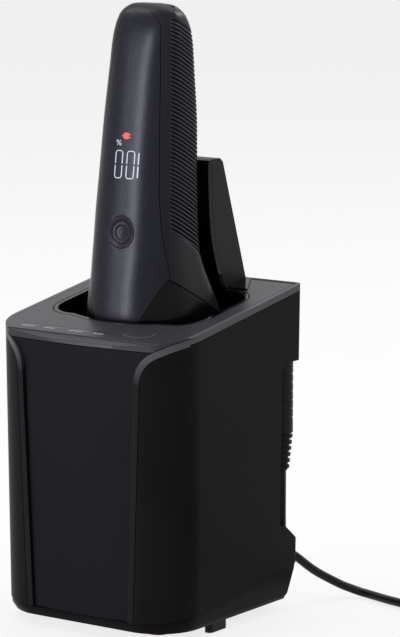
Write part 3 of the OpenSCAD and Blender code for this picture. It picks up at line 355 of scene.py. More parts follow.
def metal(name, rgb, rough, streaks=(1.0, 1.0, 1.0)):
    """Drawn or brushed metal, with streaks along the axis that is scaled down."""
    finish = Finish(name, rough, 1.0)
    streak = finish.effect("Brushing", finish.stretched(streaks), Streak_Scale=900.0)["Streak"]
    finish.paint(streak, tinted(rgb, 0.75), tinted(rgb, 1.15))
    finish.roughen(streak, rough - 0.05, rough + 0.1)
    finish.bump(streak, 0.12, 0.00008)
    return finish.material


def foil_metal(name, rgb):
    """Shaving foil: a close pattern of small holes, each given painted shade and a small bump."""
    finish = Finish(name, 0.28, 1.0)
    cells = finish.tree.nodes.new("ShaderNodeTexVoronoi")
    cells.inputs["Scale"].default_value = 1150.0
    cells.inputs["Randomness"].default_value = 0.25
    finish.tree.links.new(finish.place, cells.inputs["Vector"])
    hole_shade = spread(finish.tree, cells.outputs["Distance"], 0.26, 0.34, 1.0, 0.0)
    # Painted shade: each hole is painted dark.
    finish.paint(hole_shade, rgb, (0.02, 0.02, 0.022))
    finish.bump(hole_shade, 0.3, 0.0001)
    return finish.material


def lit(name, rgb, strength):
    """A glowing mark behind the panel, a little uneven over its length."""
    finish = Finish(name, 0.4)
    glow = finish.grain(1 / 700, 120.0)["Drift"]
    finish.paint(glow, tinted(rgb, 0.3), tinted(rgb, 0.35))
    finish.paint(glow, tinted(rgb, 0.88), tuple(rgb), "Emission Color")
    finish.shader.inputs["Emission Strength"].default_value = strength
    return finish.material


def board_laminate(name):
    """Circuit board: lacquered green with paler tracks."""
    finish = Finish(name, 0.35, coat=0.3)
    tracks = finish.tree.nodes.new("ShaderNodeTexBrick")
    tracks.inputs["Scale"].default_value = 260.0
    tracks.inputs["Mortar Size"].default_value = 0.06
    tracks.inputs["Color1"].default_value = (0.012, 0.07, 0.028, 1)
    tracks.inputs["Color2"].default_value = (0.014, 0.08, 0.032, 1)
    tracks.inputs["Mortar"].default_value = (0.05, 0.19, 0.08, 1)
    finish.tree.links.new(finish.place, tracks.inputs["Vector"])
    finish.tree.links.new(tracks.outputs["Color"], finish.shader.inputs["Base Color"])
    finish.bump(tracks.outputs["Fac"], 0.1, 0.00005)
    return finish.material


FINISHES = {}
SMOOTH_GRAIN = 0.0006
INK_GRAIN = 0.0004


class STATION_OT_finishes(bpy.types.Operator):
    """Every finish, from the colours in the panel"""
    bl_idname = "station.finishes"
    bl_label = "Finishes"

    def execute(self, context):
        c = context.scene.station_colours
        sizes = context.scene.station_sizes
        grain, fine = sizes.grain, SMOOTH_GRAIN
        make_groups()
        FINISHES.update({
            "housing": moulded("Housing plastic", c.housing, 0.4, grain, 0.3, 0.04, 0.12),
            "front": moulded("Front panel plastic", c.front, 0.38, grain, 0.3, 0.05, 0.1),
            # The trim bands carry a painted highlight along their top.
            "band": band_with_painted_highlight("Trim band", tinted(c.housing, 1.1), c.band, 0.34, grain,
                             sizes.band_highlight_fade),
            "deck": moulded("Deck plastic", c.deck, 0.36, grain, 0.3, 0.2, 0.12),
            "post_side": moulded("Post side plastic", tinted(c.deck, 0.5), 0.42, grain, 0.35,
                                 0.1, 0.1),
            "gloss": polished("Gloss black", c.gloss, 0.1, 0.1, 0.35, 0.1),
            "tray": polished("Tray plastic", tinted(c.gloss, 1.5), 0.34, 0.05, 0.2, 0.0),
            "neck": polished("Neck plastic", tinted(c.gloss, 1.3), 0.22, 0.08, 0.2, 0.05),
            "panel": flaked("Metallic panel", c.panel, 0.25, 0.3),
            "shell": moulded("Shaver shell", c.shell, 0.3, grain, 0.2, 0.12, 0.1),
            "grip": ribbed("Grip rubber", c.grip, 0.34, grain * 1.4),
            "ring": flaked("Ring metal", tinted(c.panel, 0.85), 0.26, 0.3),
            "rubber": moulded("Moulded rubber", c.rubber, 0.46, grain * 1.5, 0.4, 0.12, 0.3),
            "lead": moulded("Lead sheath", c.rubber, 0.24, fine, 0.15, 0.15, 0.2),
            "inner": moulded("Inner plastic", (0.09, 0.092, 0.1), 0.5, fine, 0.3, 0.5, 0.3),
            "white": moulded("White plastic", (0.66, 0.68, 0.69), 0.45, fine, 0.2, 0.5, 0.2),
            "cap": moulded("Cartridge cap", (0.05, 0.17, 0.4), 0.42, fine, 0.2, 0.5, 0.2),
            "lens": moulded("Lamp lens", (0.006, 0.0062, 0.007), 0.25, fine, 0.1, 0.5, 0.1, 0.3),
            "ink": moulded("Printed ink", c.ink, 0.5, INK_GRAIN, 0.1, 0.2, 0.1),
            "ink_dark": moulded("Dark ink", tinted(c.panel, 0.25), 0.5, INK_GRAIN, 0.1, 0.1, 0.1),
            "display": lit("Lit digits", c.display, 0.55),
            "charge": lit("Lit charge mark", c.charge, 0.9),
            "board": board_laminate("Board laminate"),
            "contact": metal("Plated contact", (0.62, 0.5, 0.28), 0.24),
            "steel": metal("Steel", (0.5, 0.51, 0.53), 0.3, (1.0, 0.04, 1.0)),
            "blade": metal("Blade steel", (0.55, 0.56, 0.58), 0.22, (0.05, 1.0, 1.0)),
            "foil": foil_metal("Perforated foil", (0.6, 0.6, 0.61)),
            "can": metal("Motor can", (0.45, 0.46, 0.48), 0.34, (1.0, 1.0, 0.04)),
            "cell": moulded("Cell sleeve", (0.06, 0.16, 0.05), 0.38, fine, 0.1, 0.5, 0.2, 0.3),
        })
        return {"FINISHED"}


# ---- making and placing pieces ----

BODY_OF = {node: body for body, nodes in frame["record"]["behaviour"]["bodies"].items()
           for node in nodes}


def clear_selection():
    if bpy.context.object and bpy.context.object.mode != "OBJECT":
        bpy.ops.object.mode_set(mode="OBJECT")
    bpy.ops.object.select_all(action="DESELECT")


def work_on(piece):
    clear_selection()
    piece.select_set(True)
    bpy.context.view_layer.objects.active = piece


def piece_from(name, points, faces, smooth=True):
    """A new mesh piece at the origin."""
    mesh = bpy.data.meshes.new(name)
    mesh.from_pydata([tuple(p) for p in points], [], faces)
    mesh.validate()
    mesh.polygons.foreach_set("use_smooth", [smooth] * len(mesh.polygons))
    piece = bpy.data.objects.new(name, mesh)
    bpy.context.scene.collection.objects.link(piece)
    return piece


def settle(piece, node, material):
    """Gives a finished piece its material, its body and the node that it stands for."""
    piece.data.materials.clear()
    piece.data.materials.append(FINISHES[material])
    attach(piece, BODY_OF[node])
    return piece


def stand_for(piece, node, material):
    settle(piece, node, material)
    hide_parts(node)
    return piece


def apply_modifiers(piece):
    work_on(piece)
    for modifier in list(piece.modifiers):
        bpy.ops.object.modifier_apply(modifier=modifier.name)


SHARP = radians(35)
SMOOTH = radians(38)
FLAT = radians(0.6)
JOIN = 0.000002
SKIN_JOIN = 0.000005
SKIN_SMOOTH = radians(40)
RIM_ANGLE = radians(50)
FILM = 0.00005


def merged_copy(node, name):
    """A copy of a frame node with its loose triangles joined into clean faces."""
    piece = bpy.data.objects.new(name, frame["nodes"][node].data.copy())
    bpy.context.scene.collection.objects.link(piece)
    work_on(piece)
    bpy.ops.object.mode_set(mode="EDIT")
    bpy.ops.mesh.select_all(action="SELECT")
    bpy.ops.mesh.customdata_custom_splitnormals_clear()
    bpy.ops.mesh.remove_doubles(threshold=JOIN)
    bpy.ops.mesh.dissolve_limited(angle_limit=FLAT)
    bpy.ops.object.mode_set(mode="OBJECT")
    return piece


def rounded_copy(node, round_by, material, segments=3):
    """A copy of a frame node with its sharp edges rounded; it stands for the node."""
    piece = merged_copy(node, node + "_shell")
    bevel = piece.modifiers.new("Edges", "BEVEL")
    bevel.limit_method = "ANGLE"
    bevel.angle_limit = SHARP
    bevel.width = round_by
    bevel.segments = segments
    bevel.use_clamp_overlap = True
    apply_modifiers(piece)
    bpy.ops.object.shade_smooth_by_angle(angle=SMOOTH)
    flat = piece.modifiers.new("Flat faces", "WEIGHTED_NORMAL")
    flat.keep_sharp = True
    flat.weight = 90
    apply_modifiers(piece)
    return stand_for(piece, node, material)


def face_out(piece, join=SKIN_JOIN):
    """Joins the points that lie together and turns the faces outwards."""
    work_on(piece)
    bpy.ops.object.mode_set(mode="EDIT")
    bpy.ops.mesh.select_all(action="SELECT")
    if join:
        bpy.ops.mesh.remove_doubles(threshold=join)
    bpy.ops.mesh.normals_make_consistent(inside=False)
    bpy.ops.object.mode_set(mode="OBJECT")


def thicken(piece, wall, edge=0.0):
    """Gives an open skin its wall, inwards, and rounds its rim."""
    solid = piece.modifiers.new("Wall", "SOLIDIFY")
    solid.thickness = wall
    solid.offset = -1
    if edge:
        bevel = piece.modifiers.new("Rim", "BEVEL")
        bevel.limit_method = "ANGLE"
        bevel.angle_limit = RIM_ANGLE
        bevel.width = edge
        bevel.segments = 3
    apply_modifiers(piece)
    bpy.ops.object.shade_smooth_by_angle(angle=SKIN_SMOOTH)


def film_of(piece):
    """Gives flat marks the thickness of a film."""
    film = piece.modifiers.new("Film", "SOLIDIFY")
    film.thickness = FILM
    film.offset = 0
    apply_modifiers(piece)
    return piece


def mirrored(x, side):
    """A distance to the right, or to the left where the side is negative."""
    return x if side > 0 else -x


# ---- stage ----

CAMERA_PLACE = (0.77333, -1.05045, 0.33518)
CAMERA_TURN = (radians(80.701), 0, radians(35.382))
CAMERA_LENS = 184.75
FLOOR_SIZE = 24
FLOOR_Z = -0.0002
FLOOR_GLOW = 0.8
LAMPS = [  # setting, place, height that it aims at, width and length
    ("top", (-0.15, 0.35, 1.5), 0.12, (1.3, 1.0)),
    ("left", (-1.05, -0.35, 1.35), 0.12, (0.5, 0.5)),
    ("front", (-0.7, -1.32, 0.35), 0.15, (0.18, 0.9)),
    ("back", (0.3, 1.4, 1.1), 0.12, (0.6, 0.25)),
    ("right", (1.2, -0.2, 1.15), 0.12, (0.5, 0.25))]


def panel_light(name, place, aim, size, power):
    lamp = bpy.data.lights.new(name, "AREA")
    lamp.shape = "RECTANGLE"
    lamp.size, lamp.size_y = size
    lamp.energy = power
    holder = bpy.data.objects.new(name, lamp)
    bpy.context.scene.collection.objects.link(holder)
    holder.location = place
    heading = Vector((0, 0, aim)) - Vector(place)
    holder.rotation_euler = heading.to_track_quat("-Z", "Y").to_euler()


def seen_or_mirrored(tree):
    """1 for what the camera sees straight, in a gloss or through glass."""
    path = tree.nodes.new("ShaderNodeLightPath")
    value = math_of(tree, "MAXIMUM", path.outputs["Is Camera Ray"], path.outputs["Is Glossy Ray"])
    return math_of(tree, "MAXIMUM", value, path.outputs["Is Transmission Ray"])


class STATION_OT_stage(bpy.types.Operator):
    """Camera, pale floor, soft lamps and room"""
    bl_idname = "station.stage"
    bl_label = "Stage"

    def execute(self, context):
        scene = context.scene
        studio = scene.station_studio
        lens = bpy.data.cameras.new("Camera")
        lens.lens = CAMERA_LENS
        lens.clip_end = 60
        camera = bpy.data.objects.new("Camera", lens)
        scene.collection.objects.link(camera)
        camera.location = CAMERA_PLACE
        camera.rotation_euler = CAMERA_TURN
        scene.camera = camera
        scene.view_settings.view_transform = "Standard"

        clear_selection()
        bpy.ops.mesh.primitive_plane_add(size=FLOOR_SIZE, location=(0, 0, FLOOR_Z))
        floor = context.object
        floor.name = "floor"
        material = bpy.data.materials.new("Pale floor")
        material.use_nodes = True
        tree = material.node_tree
        shader = tree.nodes["Principled BSDF"]
        shader.inputs["Base Color"].default_value = (0.82, 0.82, 0.82, 1)
        shader.inputs["Roughness"].default_value = 0.6
        shader.inputs["Specular IOR Level"].default_value = 0.1
        white = tree.nodes.new("ShaderNodeEmission")
        mix = tree.nodes.new("ShaderNodeMixShader")
        glow = math_of(tree, "MULTIPLY", seen_or_mirrored(tree), FLOOR_GLOW)
        tree.links.new(glow, mix.inputs[0])
        tree.links.new(shader.outputs[0], mix.inputs[1])
        tree.links.new(white.outputs[0], mix.inputs[2])
        tree.links.new(mix.outputs[0], tree.nodes["Material Output"].inputs["Surface"])
        floor.data.materials.append(material)

        world = bpy.data.worlds.new("Room")
        scene.world = world
        world.use_nodes = True
        tree = world.node_tree
        back = tree.nodes["Background"]
        strength = spread(tree, seen_or_mirrored(tree), 0.0, 1.0, studio.room, 1.0)
        tree.links.new(strength, back.inputs["Strength"])
        back.inputs["Color"].default_value = (1, 1, 1, 1)

        for setting, place, aim, size in LAMPS:
            panel_light(setting + " lamp", place, aim, size, getattr(studio, setting))
        return {"FINISHED"}


# ---- power lead ----

PLUG_AT = (40.4, 39.5)
LEAD_REST = 1.9
LEAD_PATH = [
    (0, 0, 57.4), (0, 0, 52), (0, 0, 45), (0, 0, 38), (0, 0.3, 32), (0.2, 1.5, 26.5),
    (1, 4.5, 22.3), (2.6, 8, 19.3), (4, 11, 16.6), (5.4, 14, 14), (6.8, 17.2, 11.6),
    (8.4, 20.5, 9.4), (10.2, 23.7, 7.3), (12.4, 26.7, 5.3), (15.2, 29.2, 3.7), (18.8, 30.7, 2.5),
    (23, 30.8, 2), (27.6, 29.7, 1.9), (33.6, 27.9, 1.9), (40.6, 26.3, 1.9),
    (47.6, 25.1, 1.9), (54.1, 24.7, 1.9), (60.2, 25.7, 1.9)]
GUIDE_STEPS = 4
COIL_START = 135
COIL_AT = (91.6, 16.5)
COIL_GAP = 0.5
TIE_ANGLE = radians(60)
TIE_GAP, TIE_FOOT, TIE_ROUND, TIE_HALF, TIE_WALL = 0.2, 0.05, 1.9, 2.4, 0.00035


def curve_through(points, steps):
    """Points at close steps on the smooth curve through the given ones, without the last."""
    last = len(points) - 1
    out = []
    for k in range(last):
        p = [points[max(0, min(last, k + d))] for d in (-1, 0, 1, 2)]
        for step in range(steps):
            t = step / steps
            out.append(0.5 * (2 * p[1] + (p[2] - p[0]) * t
                              + (2 * p[0] - 5 * p[1] + 4 * p[2] - p[3]) * t * t
                              + (3 * p[1] - p[0] - 3 * p[2] + p[3]) * t ** 3))
    return out


def lead_route(sizes):
    """The lead's centreline in millimetres: down from the plug, along the floor, into the coil."""
    width = sizes.width / MM
    radius = sizes.coil_radius / MM
    pitch = width + COIL_GAP
    centre = Vector((PLUG_AT[0] + COIL_AT[0], PLUG_AT[1] + COIL_AT[1], 0))
    rings = 24
    per_layer = sizes.turns * rings
    steps = sizes.layers * per_layer + rings * COIL_START / 360

    def coil_point(k):
        wound = k / per_layer
        layer = min(int(wound), sizes.layers - 1)
        share = wound - layer
        share = share if layer % 2 == 0 else 1 - share
        r = radius + pitch * sizes.turns * (0.5 - share)
        near = int(wound + 0.5)
        turn = (wound - near) * sizes.turns
        if near < 1:
            climb = 0
        elif near > sizes.layers - 1:
            climb = sizes.layers - 1
        else:
            climb = near - 0.5 + max(-0.5, min(0.5, 2 * turn))
        a = radians(COIL_START - 360 * k / rings)
        return Vector((centre.x + r * cos(a), centre.y + r * sin(a), LEAD_REST + pitch * climb))

    heading = Vector((sin(radians(COIL_START)), -cos(radians(COIL_START)), 0))
    first = coil_point(0)
    join = first - 2 * width * heading
    guide = [Vector((PLUG_AT[0] + x, PLUG_AT[1] + y, z)) for x, y, z in LEAD_PATH]
    guide += [join - width * heading, join]
    route = curve_through(guide, GUIDE_STEPS)[:-GUIDE_STEPS]
    route += [join - width * heading, join, first - width * heading]
    route += [coil_point(k / 2) for k in range(int(2 * steps) + 1)]
    last = coil_point(steps)
    if (route[-1] - last).length > 0.01:
        route.append(last)
    # out of the coil and on into the adaptor
    route += [last - Vector((0, 8, 0)), last - Vector((0, 16, 0)), last - Vector((0, 22, 0))]
    return route


def coil_tie(sizes):
    """A ribbon round all the turns of the coil, on the side away from its ends."""
    width = sizes.width / MM
    pitch = width + COIL_GAP
    reach = pitch * sizes.turns / 2 + width / 2 + TIE_GAP
    left, right = sizes.coil_radius / MM - reach, sizes.coil_radius / MM + reach
    top = LEAD_REST + pitch * (sizes.layers - 1) + width / 2 + TIE_GAP
    left, right = left + TIE_ROUND, right - TIE_ROUND
    low, high = TIE_FOOT + TIE_ROUND, top - TIE_ROUND
    loop = []
    for x, z, start in ((right, high, 0), (left, high, 90), (left, low, 180), (right, low, 270)):
        loop += [(x + TIE_ROUND * cos(radians(start + a)), z + TIE_ROUND * sin(radians(start + a)))
                 for a in range(0, 91, 15)]
    out = Vector((cos(TIE_ANGLE), sin(TIE_ANGLE), 0))
    along = Vector((-sin(TIE_ANGLE), cos(TIE_ANGLE), 0))
    centre = Vector((PLUG_AT[0] + COIL_AT[0], PLUG_AT[1] + COIL_AT[1], 0))
    points = [(centre + out * r + along * side + Vector((0, 0, z))) * MM
              for side in (-TIE_HALF, TIE_HALF) for r, z in loop]
    n = len(loop)
    faces = [(k, (k + 1) % n, n + (k + 1) % n, n + k) for k in range(n)]
    tie = piece_from("coil_tie", points, faces)
    face_out(tie)
    thicken(tie, TIE_WALL)
    tie.data.materials.append(FINISHES["rubber"])
    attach(tie, "station")
    return tie


class STATION_OT_lead(bpy.types.Operator):
    """Power lead: a hanging and lying stretch, and a stored coil"""
    bl_idname = "station.lead"
    bl_label = "Power lead"

    def execute(self, context):
        sizes = context.scene.station_lead
        route = [p * MM for p in lead_route(sizes)]
        line = bpy.data.curves.new("power_lead", "CURVE")
        line.dimensions = "3D"
        line.bevel_depth = sizes.width / 2
        line.bevel_resolution = 4
        line.use_fill_caps = True
        run = line.splines.new("POLY")
        run.points.add(len(route) - 1)
        for point, place in zip(run.points, route):
            point.co = (*place, 1)
        lead = bpy.data.objects.new("power_lead", line)
        context.scene.collection.objects.link(lead)
        line.materials.append(FINISHES["lead"])
        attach(lead, "station")
        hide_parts("cord_stretch", "cord_coil")
        coil_tie(sizes)
        return {"FINISHED"}


# ---- housing ----

DECK_SLOPE = radians(9.1)
DECK_FRONT = Vector((0, -45.5, 120))
LABELS = [(-29.6, 3.4), (-18.9, 2.7), (-5.7, 3.6), (5.4, 2.5)]  # middle, half width
LABEL_FRONT, LABEL_DEPTH = 6.7, 0.8
BUTTON_ROUND = 0.0009
PLINTH_ROUND = 0.00025
POST_FRONT_ROUND = 0.0009
RIB_ROUND = 0.0002
ADAPTOR_ROUND = 0.0012


def deck_point(x, y, up=0.04):
    """A point on the sloping deck, just proud of it, in metres."""
    rise = (y - DECK_FRONT.y) * tan(DECK_SLOPE)
    return Vector((x, y - up * sin(DECK_SLOPE), DECK_FRONT.z + rise + up * cos(DECK_SLOPE))) * MM


CARRIED = {
    "housing": ["back_panel"],
    "inner": ["chassis", "pump_housing", "fan_housing", "power_inlet", "select_switch",
              "head_frame"],
    "rubber": ["side_feet", "rubber_pads"],
    "white": ["cartridge", "suction_tube", "supply_tube", "drain_tube", "pump_impeller",
              "fan_wheel"],
    "cap": ["cartridge_cap"],
    "lens": ["lamp_lenses"],
    "board": ["control_board", "shaver_board"],
    "contact": ["charge_contacts", "charge_terminals"],
    "steel": ["board_screws", "adaptor_prongs", "head_pivot_pin"],
    "can": ["pump_motor", "fan_motor", "shaver_motor"],
    "blade": ["inner_blades"],
    "foil": ["foil_cassette"],
    "cell": ["shaver_battery"],
}


class STATION_OT_inside(bpy.types.Operator):
    """Finishes of the pieces that keep their own shape"""
    bl_idname = "station.inside"
    bl_label = "Inner pieces"

    def execute(self, context):
        for material, nodes in CARRIED.items():
            for node in nodes:
                mesh = frame["nodes"][node].data
                mesh.materials.clear()
                mesh.materials.append(FINISHES[material])
        return {"FINISHED"}


class STATION_OT_housing(bpy.types.Operator):
    """Sides, bands, front panel, deck, rear covers and base"""
    bl_idname = "station.housing"
    bl_label = "Housing"

    def execute(self, context):
        sizes = context.scene.station_sizes
        for side in ("left", "right"):
            rounded_copy(side + "_side_panel", sizes.edge, "housing")
            rounded_copy(side + "_trim_band", sizes.edge, "band")
        for node, material in (("front_panel", "front"), ("top_deck", "deck"),
                               ("upper_rear_cover", "housing"), ("lower_rear_cover", "housing"),
                               ("base_tray", "tray")):
            rounded_copy(node, sizes.edge, material)
        rounded_copy("select_button", BUTTON_ROUND, "deck")
        self.labels()
        return {"FINISHED"}

    def labels(self):
        """Plain light bars in front of the lamps."""
        points, faces = [], []
        for x, half in LABELS:
            k = len(points)
            near, far = LABEL_FRONT, LABEL_FRONT + LABEL_DEPTH
            for px, py in ((x - half, near), (x + half, near), (x + half, far), (x - half, far)):
                points.append(deck_point(px, DECK_FRONT.y + py))
            faces.append((k, k + 1, k + 2, k + 3))
        settle(film_of(piece_from("lamp_labels", points, faces, smooth=False)), "top_deck", "ink")


class STATION_OT_well(bpy.types.Operator):
    """Wash well, plinth and charging post"""
    bl_idname = "station.well"
    bl_label = "Well and post"

    def execute(self, context):
        sizes = context.scene.station_sizes
        rounded_copy("wash_basin", sizes.edge, "gloss")
        rounded_copy("post_plinth", PLINTH_ROUND, "gloss")
        rounded_copy("post_front_cover", POST_FRONT_ROUND, "gloss")
        rounded_copy("post_rear_cover", sizes.post_round, "post_side")
        return {"FINISHED"}


class STATION_OT_plug(bpy.types.Operator):
    """Appliance plug with its ribs, strain relief and adaptor"""
    bl_idname = "station.plug"
    bl_label = "Plug and adaptor"

    def execute(self, context):
        rounded_copy("appliance_plug", RIB_ROUND, "rubber", segments=2)
        rounded_copy("plug_strain_relief", RIB_ROUND, "rubber", segments=2)
        rounded_copy("adaptor_body", ADAPTOR_ROUND, "tray", segments=4)
        return {"FINISHED"}


# ---- shaver ----

LEAN = radians(7.2)
HANDLE_FOOT = Vector((0, -21, 120))
HANDLE_TOP = 131
SECTIONS = [  # place, half width, front line, back line, front corner, back corner
    (-14, 25.4, 7.5, 44, 21, 12), (-4, 25.4, 2.9, 47.5, 21, 10), (4, 25, 0.2, 47, 20.5, 9),
    (12, 23.4, 0, 44, 18.5, 9), (20, 21.8, 0, 39.5, 16.6, 8.5), (28, 20.6, 0, 34.8, 14.4, 8),
    (36, 20.1, 0, 31.6, 13.6, 8), (48, 20, 0, 29.3, 13.6, 8), (66, 19.4, 0, 27.6, 13.4, 8),
    (86, 18.6, 0.2, 26.1, 12.4, 8), (104, 17.3, 0.7, 24, 10.9, 8), (118, 16.2, 1.8, 22.2, 8.7, 8),
    (126, 14, 3.8, 19.8, 6.4, 7.4), (130, 9.7, 6.6, 16.9, 3.6, 4.6), (131, 4.8, 9.4, 14.4, 1.6, 2),
    (131, 0.5, 11.5, 12.3, 0.3, 0.3)]
SECTION_STEPS = 24


def on_handle(x, y, w):
    """A point of the handle's own frame, in metres in the station's frame."""
    return Vector((x, HANDLE_FOOT.y + y * cos(LEAN) + w * sin(LEAN),
                   HANDLE_FOOT.z - y * sin(LEAN) + w * cos(LEAN))) * MM


def squareness(a, h, r):
    """The exponent of the smooth quarter oval that reaches as far out as a corner of radius r."""
    r = min(r, h, a)
    u, v = (a - 0.293 * r) / a, (h - 0.293 * r) / h
    low, high = 2.0, 12.0
    for step in range(30):
        n = (low + high) / 2
        if u ** n + v ** n > 1:
            low = n
        else:
            high = n
    return n


def smooth_sections():
    """The sections at close steps: place, half width, widest line, front, back, two exponents."""
    rows = []
    for w, a, b, c, rf, rb in SECTIONS:
        m = (b + rf + c - rb) / 2
        rows.append(Vector((w, a, m, b, c, squareness(a, m - b, rf), squareness(a, c - m, rb))))
    return curve_through(rows, SECTION_STEPS) + [rows[-1]]


PROFILE = smooth_sections()
PROFILE_PLACES = [row[0] for row in PROFILE]


def section_at(w):
    """The section at a place along the handle."""
    high = max(1, min(len(PROFILE) - 1, bisect_left(PROFILE_PLACES, w)))
    a, b = PROFILE[high - 1], PROFILE[high]
    t = 0 if b[0] - a[0] < 1e-6 else max(0.0, min(1.0, (w - a[0]) / (b[0] - a[0])))
    return a.lerp(b, t)


QUARTER = np.linspace(0, pi / 2, 81)


class Oval:
    """The right half of a section, from front middle to back middle, read by its length."""

    def __init__(self, section):
        w, a, m, b, c, front, back = section
        s, u = np.sin(QUARTER), np.cos(QUARTER)
        u[-1] = 0
        front_x, front_y = a * s ** (2 / front), m - (m - b) * u ** (2 / front)
        back_x, back_y = a * s ** (2 / back), m + (c - m) * u ** (2 / back)
        self.x = np.concatenate([front_x, back_x[-2::-1]])
        self.y = np.concatenate([front_y, back_y[-2::-1]])
        self.run = np.concatenate([[0], np.cumsum(np.hypot(np.diff(self.x), np.diff(self.y)))])
        self.total = float(self.run[-1])

    def at(self, s):
        return float(np.interp(s, self.run, self.x)), float(np.interp(s, self.run, self.y))

    def outward(self, s):
        """The direction straight out of the skin."""
        x0, y0 = self.at(max(0.0, s - 0.25))
        x1, y1 = self.at(min(self.total, s + 0.25))
        size = max(1e-9, hypot(x1 - x0, y1 - y0))
        return (y1 - y0) / size, (x0 - x1) / size

    def run_to_width(self, x):
        """The length at which the front reaches a half width."""
        return float(np.interp(x, self.x[:QUARTER.size], self.run[:QUARTER.size]))

    def run_to_depth(self, y):
        return float(np.interp(y, self.y, self.run))

    def run_to_back(self, x):
        """The length at which the back has come in to a half width."""
        widest = QUARTER.size - 1
        return float(np.interp(-x, -self.x[widest:], self.run[widest:]))


OVALS = {}


def oval_at(w):
    key = round(w, 2)
    if key not in OVALS:
        OVALS[key] = Oval(section_at(key))
    return OVALS[key]


POWER_W = 39
RING_R = 6.5
RING_GAP, RING_CUT = 0.1, 0.02
POWER_R = 4.3
NECK_TOP = 21.6
NECK_CORNER_Y = 8
NECK_FALL = 0.42
ARCH_FOOT, ARCH_HALF = 116, 10.75
PANEL_TOP = HANDLE_TOP - 3.2
PANEL_FLARE = [(0.4, 8.8), (6, 12.2), (11.2, 14.8), (17.4, 17.4), (NECK_TOP, 19.3)]
PANEL_SIDE = [(NECK_TOP, 19.3), (24, 19.2), (31.4, 18), (39.6, 16.8), (47, 15.9), (55, 15),
              (67, 14.3), (80, 13.5), (94, 12.6), (106, 11.7), (ARCH_FOOT, ARCH_HALF)]
SKEW_FOOT, SKEW_RUN = 26, 44
ARCH_START = ARCH_FOOT - 4
ARCH_ROWS = 26
HALF_COLUMNS = 84
NECK_ROWS = 30
NECK_FOOT_Z = 106
DOME_GAP, RIM_GAP = 0.25, 0.05
BRIDGE = 12
MIDDLE = 1e-9
START_Y = 8.0
RIM_ROUND = 0.0003


def smooth_through(points, w):
    """A smooth line through the points, read at a place."""
    w = max(points[0][0], min(points[-1][0], w))
    k = max(0, min(len(points) - 2, bisect_left([p[0] for p in points], w) - 1))
    (w0, x0), (w1, x1) = points[k], points[k + 1]
    chord = (x1 - x0) / (w1 - w0)
    before = (x0 - points[k - 1][1]) / (w0 - points[k - 1][0]) if k else chord
    after = (points[k + 2][1] - x1) / (points[k + 2][0] - w1) if k + 2 < len(points) else chord
    m0, m1 = (chord + before) / 2 * (w1 - w0), (chord + after) / 2 * (w1 - w0)
    t = (w - w0) / (w1 - w0)
    return (x0 * (2 * t ** 3 - 3 * t * t + 1) + m0 * (t ** 3 - 2 * t * t + t)
            + x1 * (3 * t * t - 2 * t ** 3) + m1 * (t ** 3 - t * t))


def panel_half(w):
    """Half width of the front panel at a place along the handle."""
    if w >= ARCH_FOOT:
        share = min(1.0, (w - ARCH_FOOT) / (PANEL_TOP - ARCH_FOOT))
        return ARCH_HALF * (1 - share ** 2.5) ** (1 / 1.9)
    return smooth_through(PANEL_SIDE if w > NECK_TOP else PANEL_FLARE, w)


def panel_run(w):
    """Length along the skin from the front middle to the panel's edge."""
    return oval_at(w).run_to_width(panel_half(w))


def blend(t):
    t = max(0.0, min(1.0, t))
    return t * t * (3 - 2 * t)


def neck_line(y):
    """Height of the neck's upper edge at a depth."""
    return NECK_TOP - max(0.0, y - NECK_CORNER_Y) * NECK_FALL


def skewed(row, y):
    """Rows of the shell follow the neck's slanting edge at the bottom and level out above."""
    return row + (1 - blend((row - SKEW_FOOT) / SKEW_RUN)) * (neck_line(y) - NECK_TOP)


GRIP_FRONT = [(40, 8.2), (42.6, 7.4), (47, 6.9), (61, 6.2), (85, 5.2), (108, 4.5), (120, 4.6),
              (127, 5.8)]
GRIP_FOOT = 40.4
GRIP_FOOT_Y = 8.2
GRIP_HEAD = 125.4
GRIP_HEAD_Y = 5.7
GRIP_FALL = 0.38
GRIP_BACK_X = 10.4
GRIP_SIDE_END = 14
SINK_EDGE, SINK_FADE = 0.25, 0.7
RIB_STEPS = 7
RIB_POWER = 0.75
RIB_FADE = 1.6
GRIP_LIFT = 0.04
GRIP_WALL = 0.0002


def inside_grip(x, y, w):
    """How far a point of the skin lies inside the grip, from its nearest edge."""
    front = y - smooth_through(GRIP_FRONT, w)
    foot = w - GRIP_FOOT + GRIP_FALL * (y - GRIP_FOOT_Y)
    head = GRIP_HEAD - GRIP_FALL * (y - GRIP_HEAD_Y) - w
    back = x - GRIP_BACK_X if y > GRIP_SIDE_END else front
    return min(front, foot, head, back)


def sheet_of(rows, columns, place):
    """A grid of points from place(row, column), and its faces."""
    points = [place(r, c) for r in rows for c in columns]
    n = len(columns)
    faces = [(j * n + k, j * n + k + 1, (j + 1) * n + k + 1, (j + 1) * n + k)
             for j in range(len(rows) - 1) for k in range(n - 1)]
    return points, faces


def stations(low, high, step):
    count = max(1, ceil((high - low) / step))
    return [low + (high - low) * k / count for k in range(count + 1)]


def towards(low, high, count):
    """Places from low to high that crowd together at the high end."""
    return [low + (high - low) * sin(pi / 2 * k / count) for k in range(count + 1)]


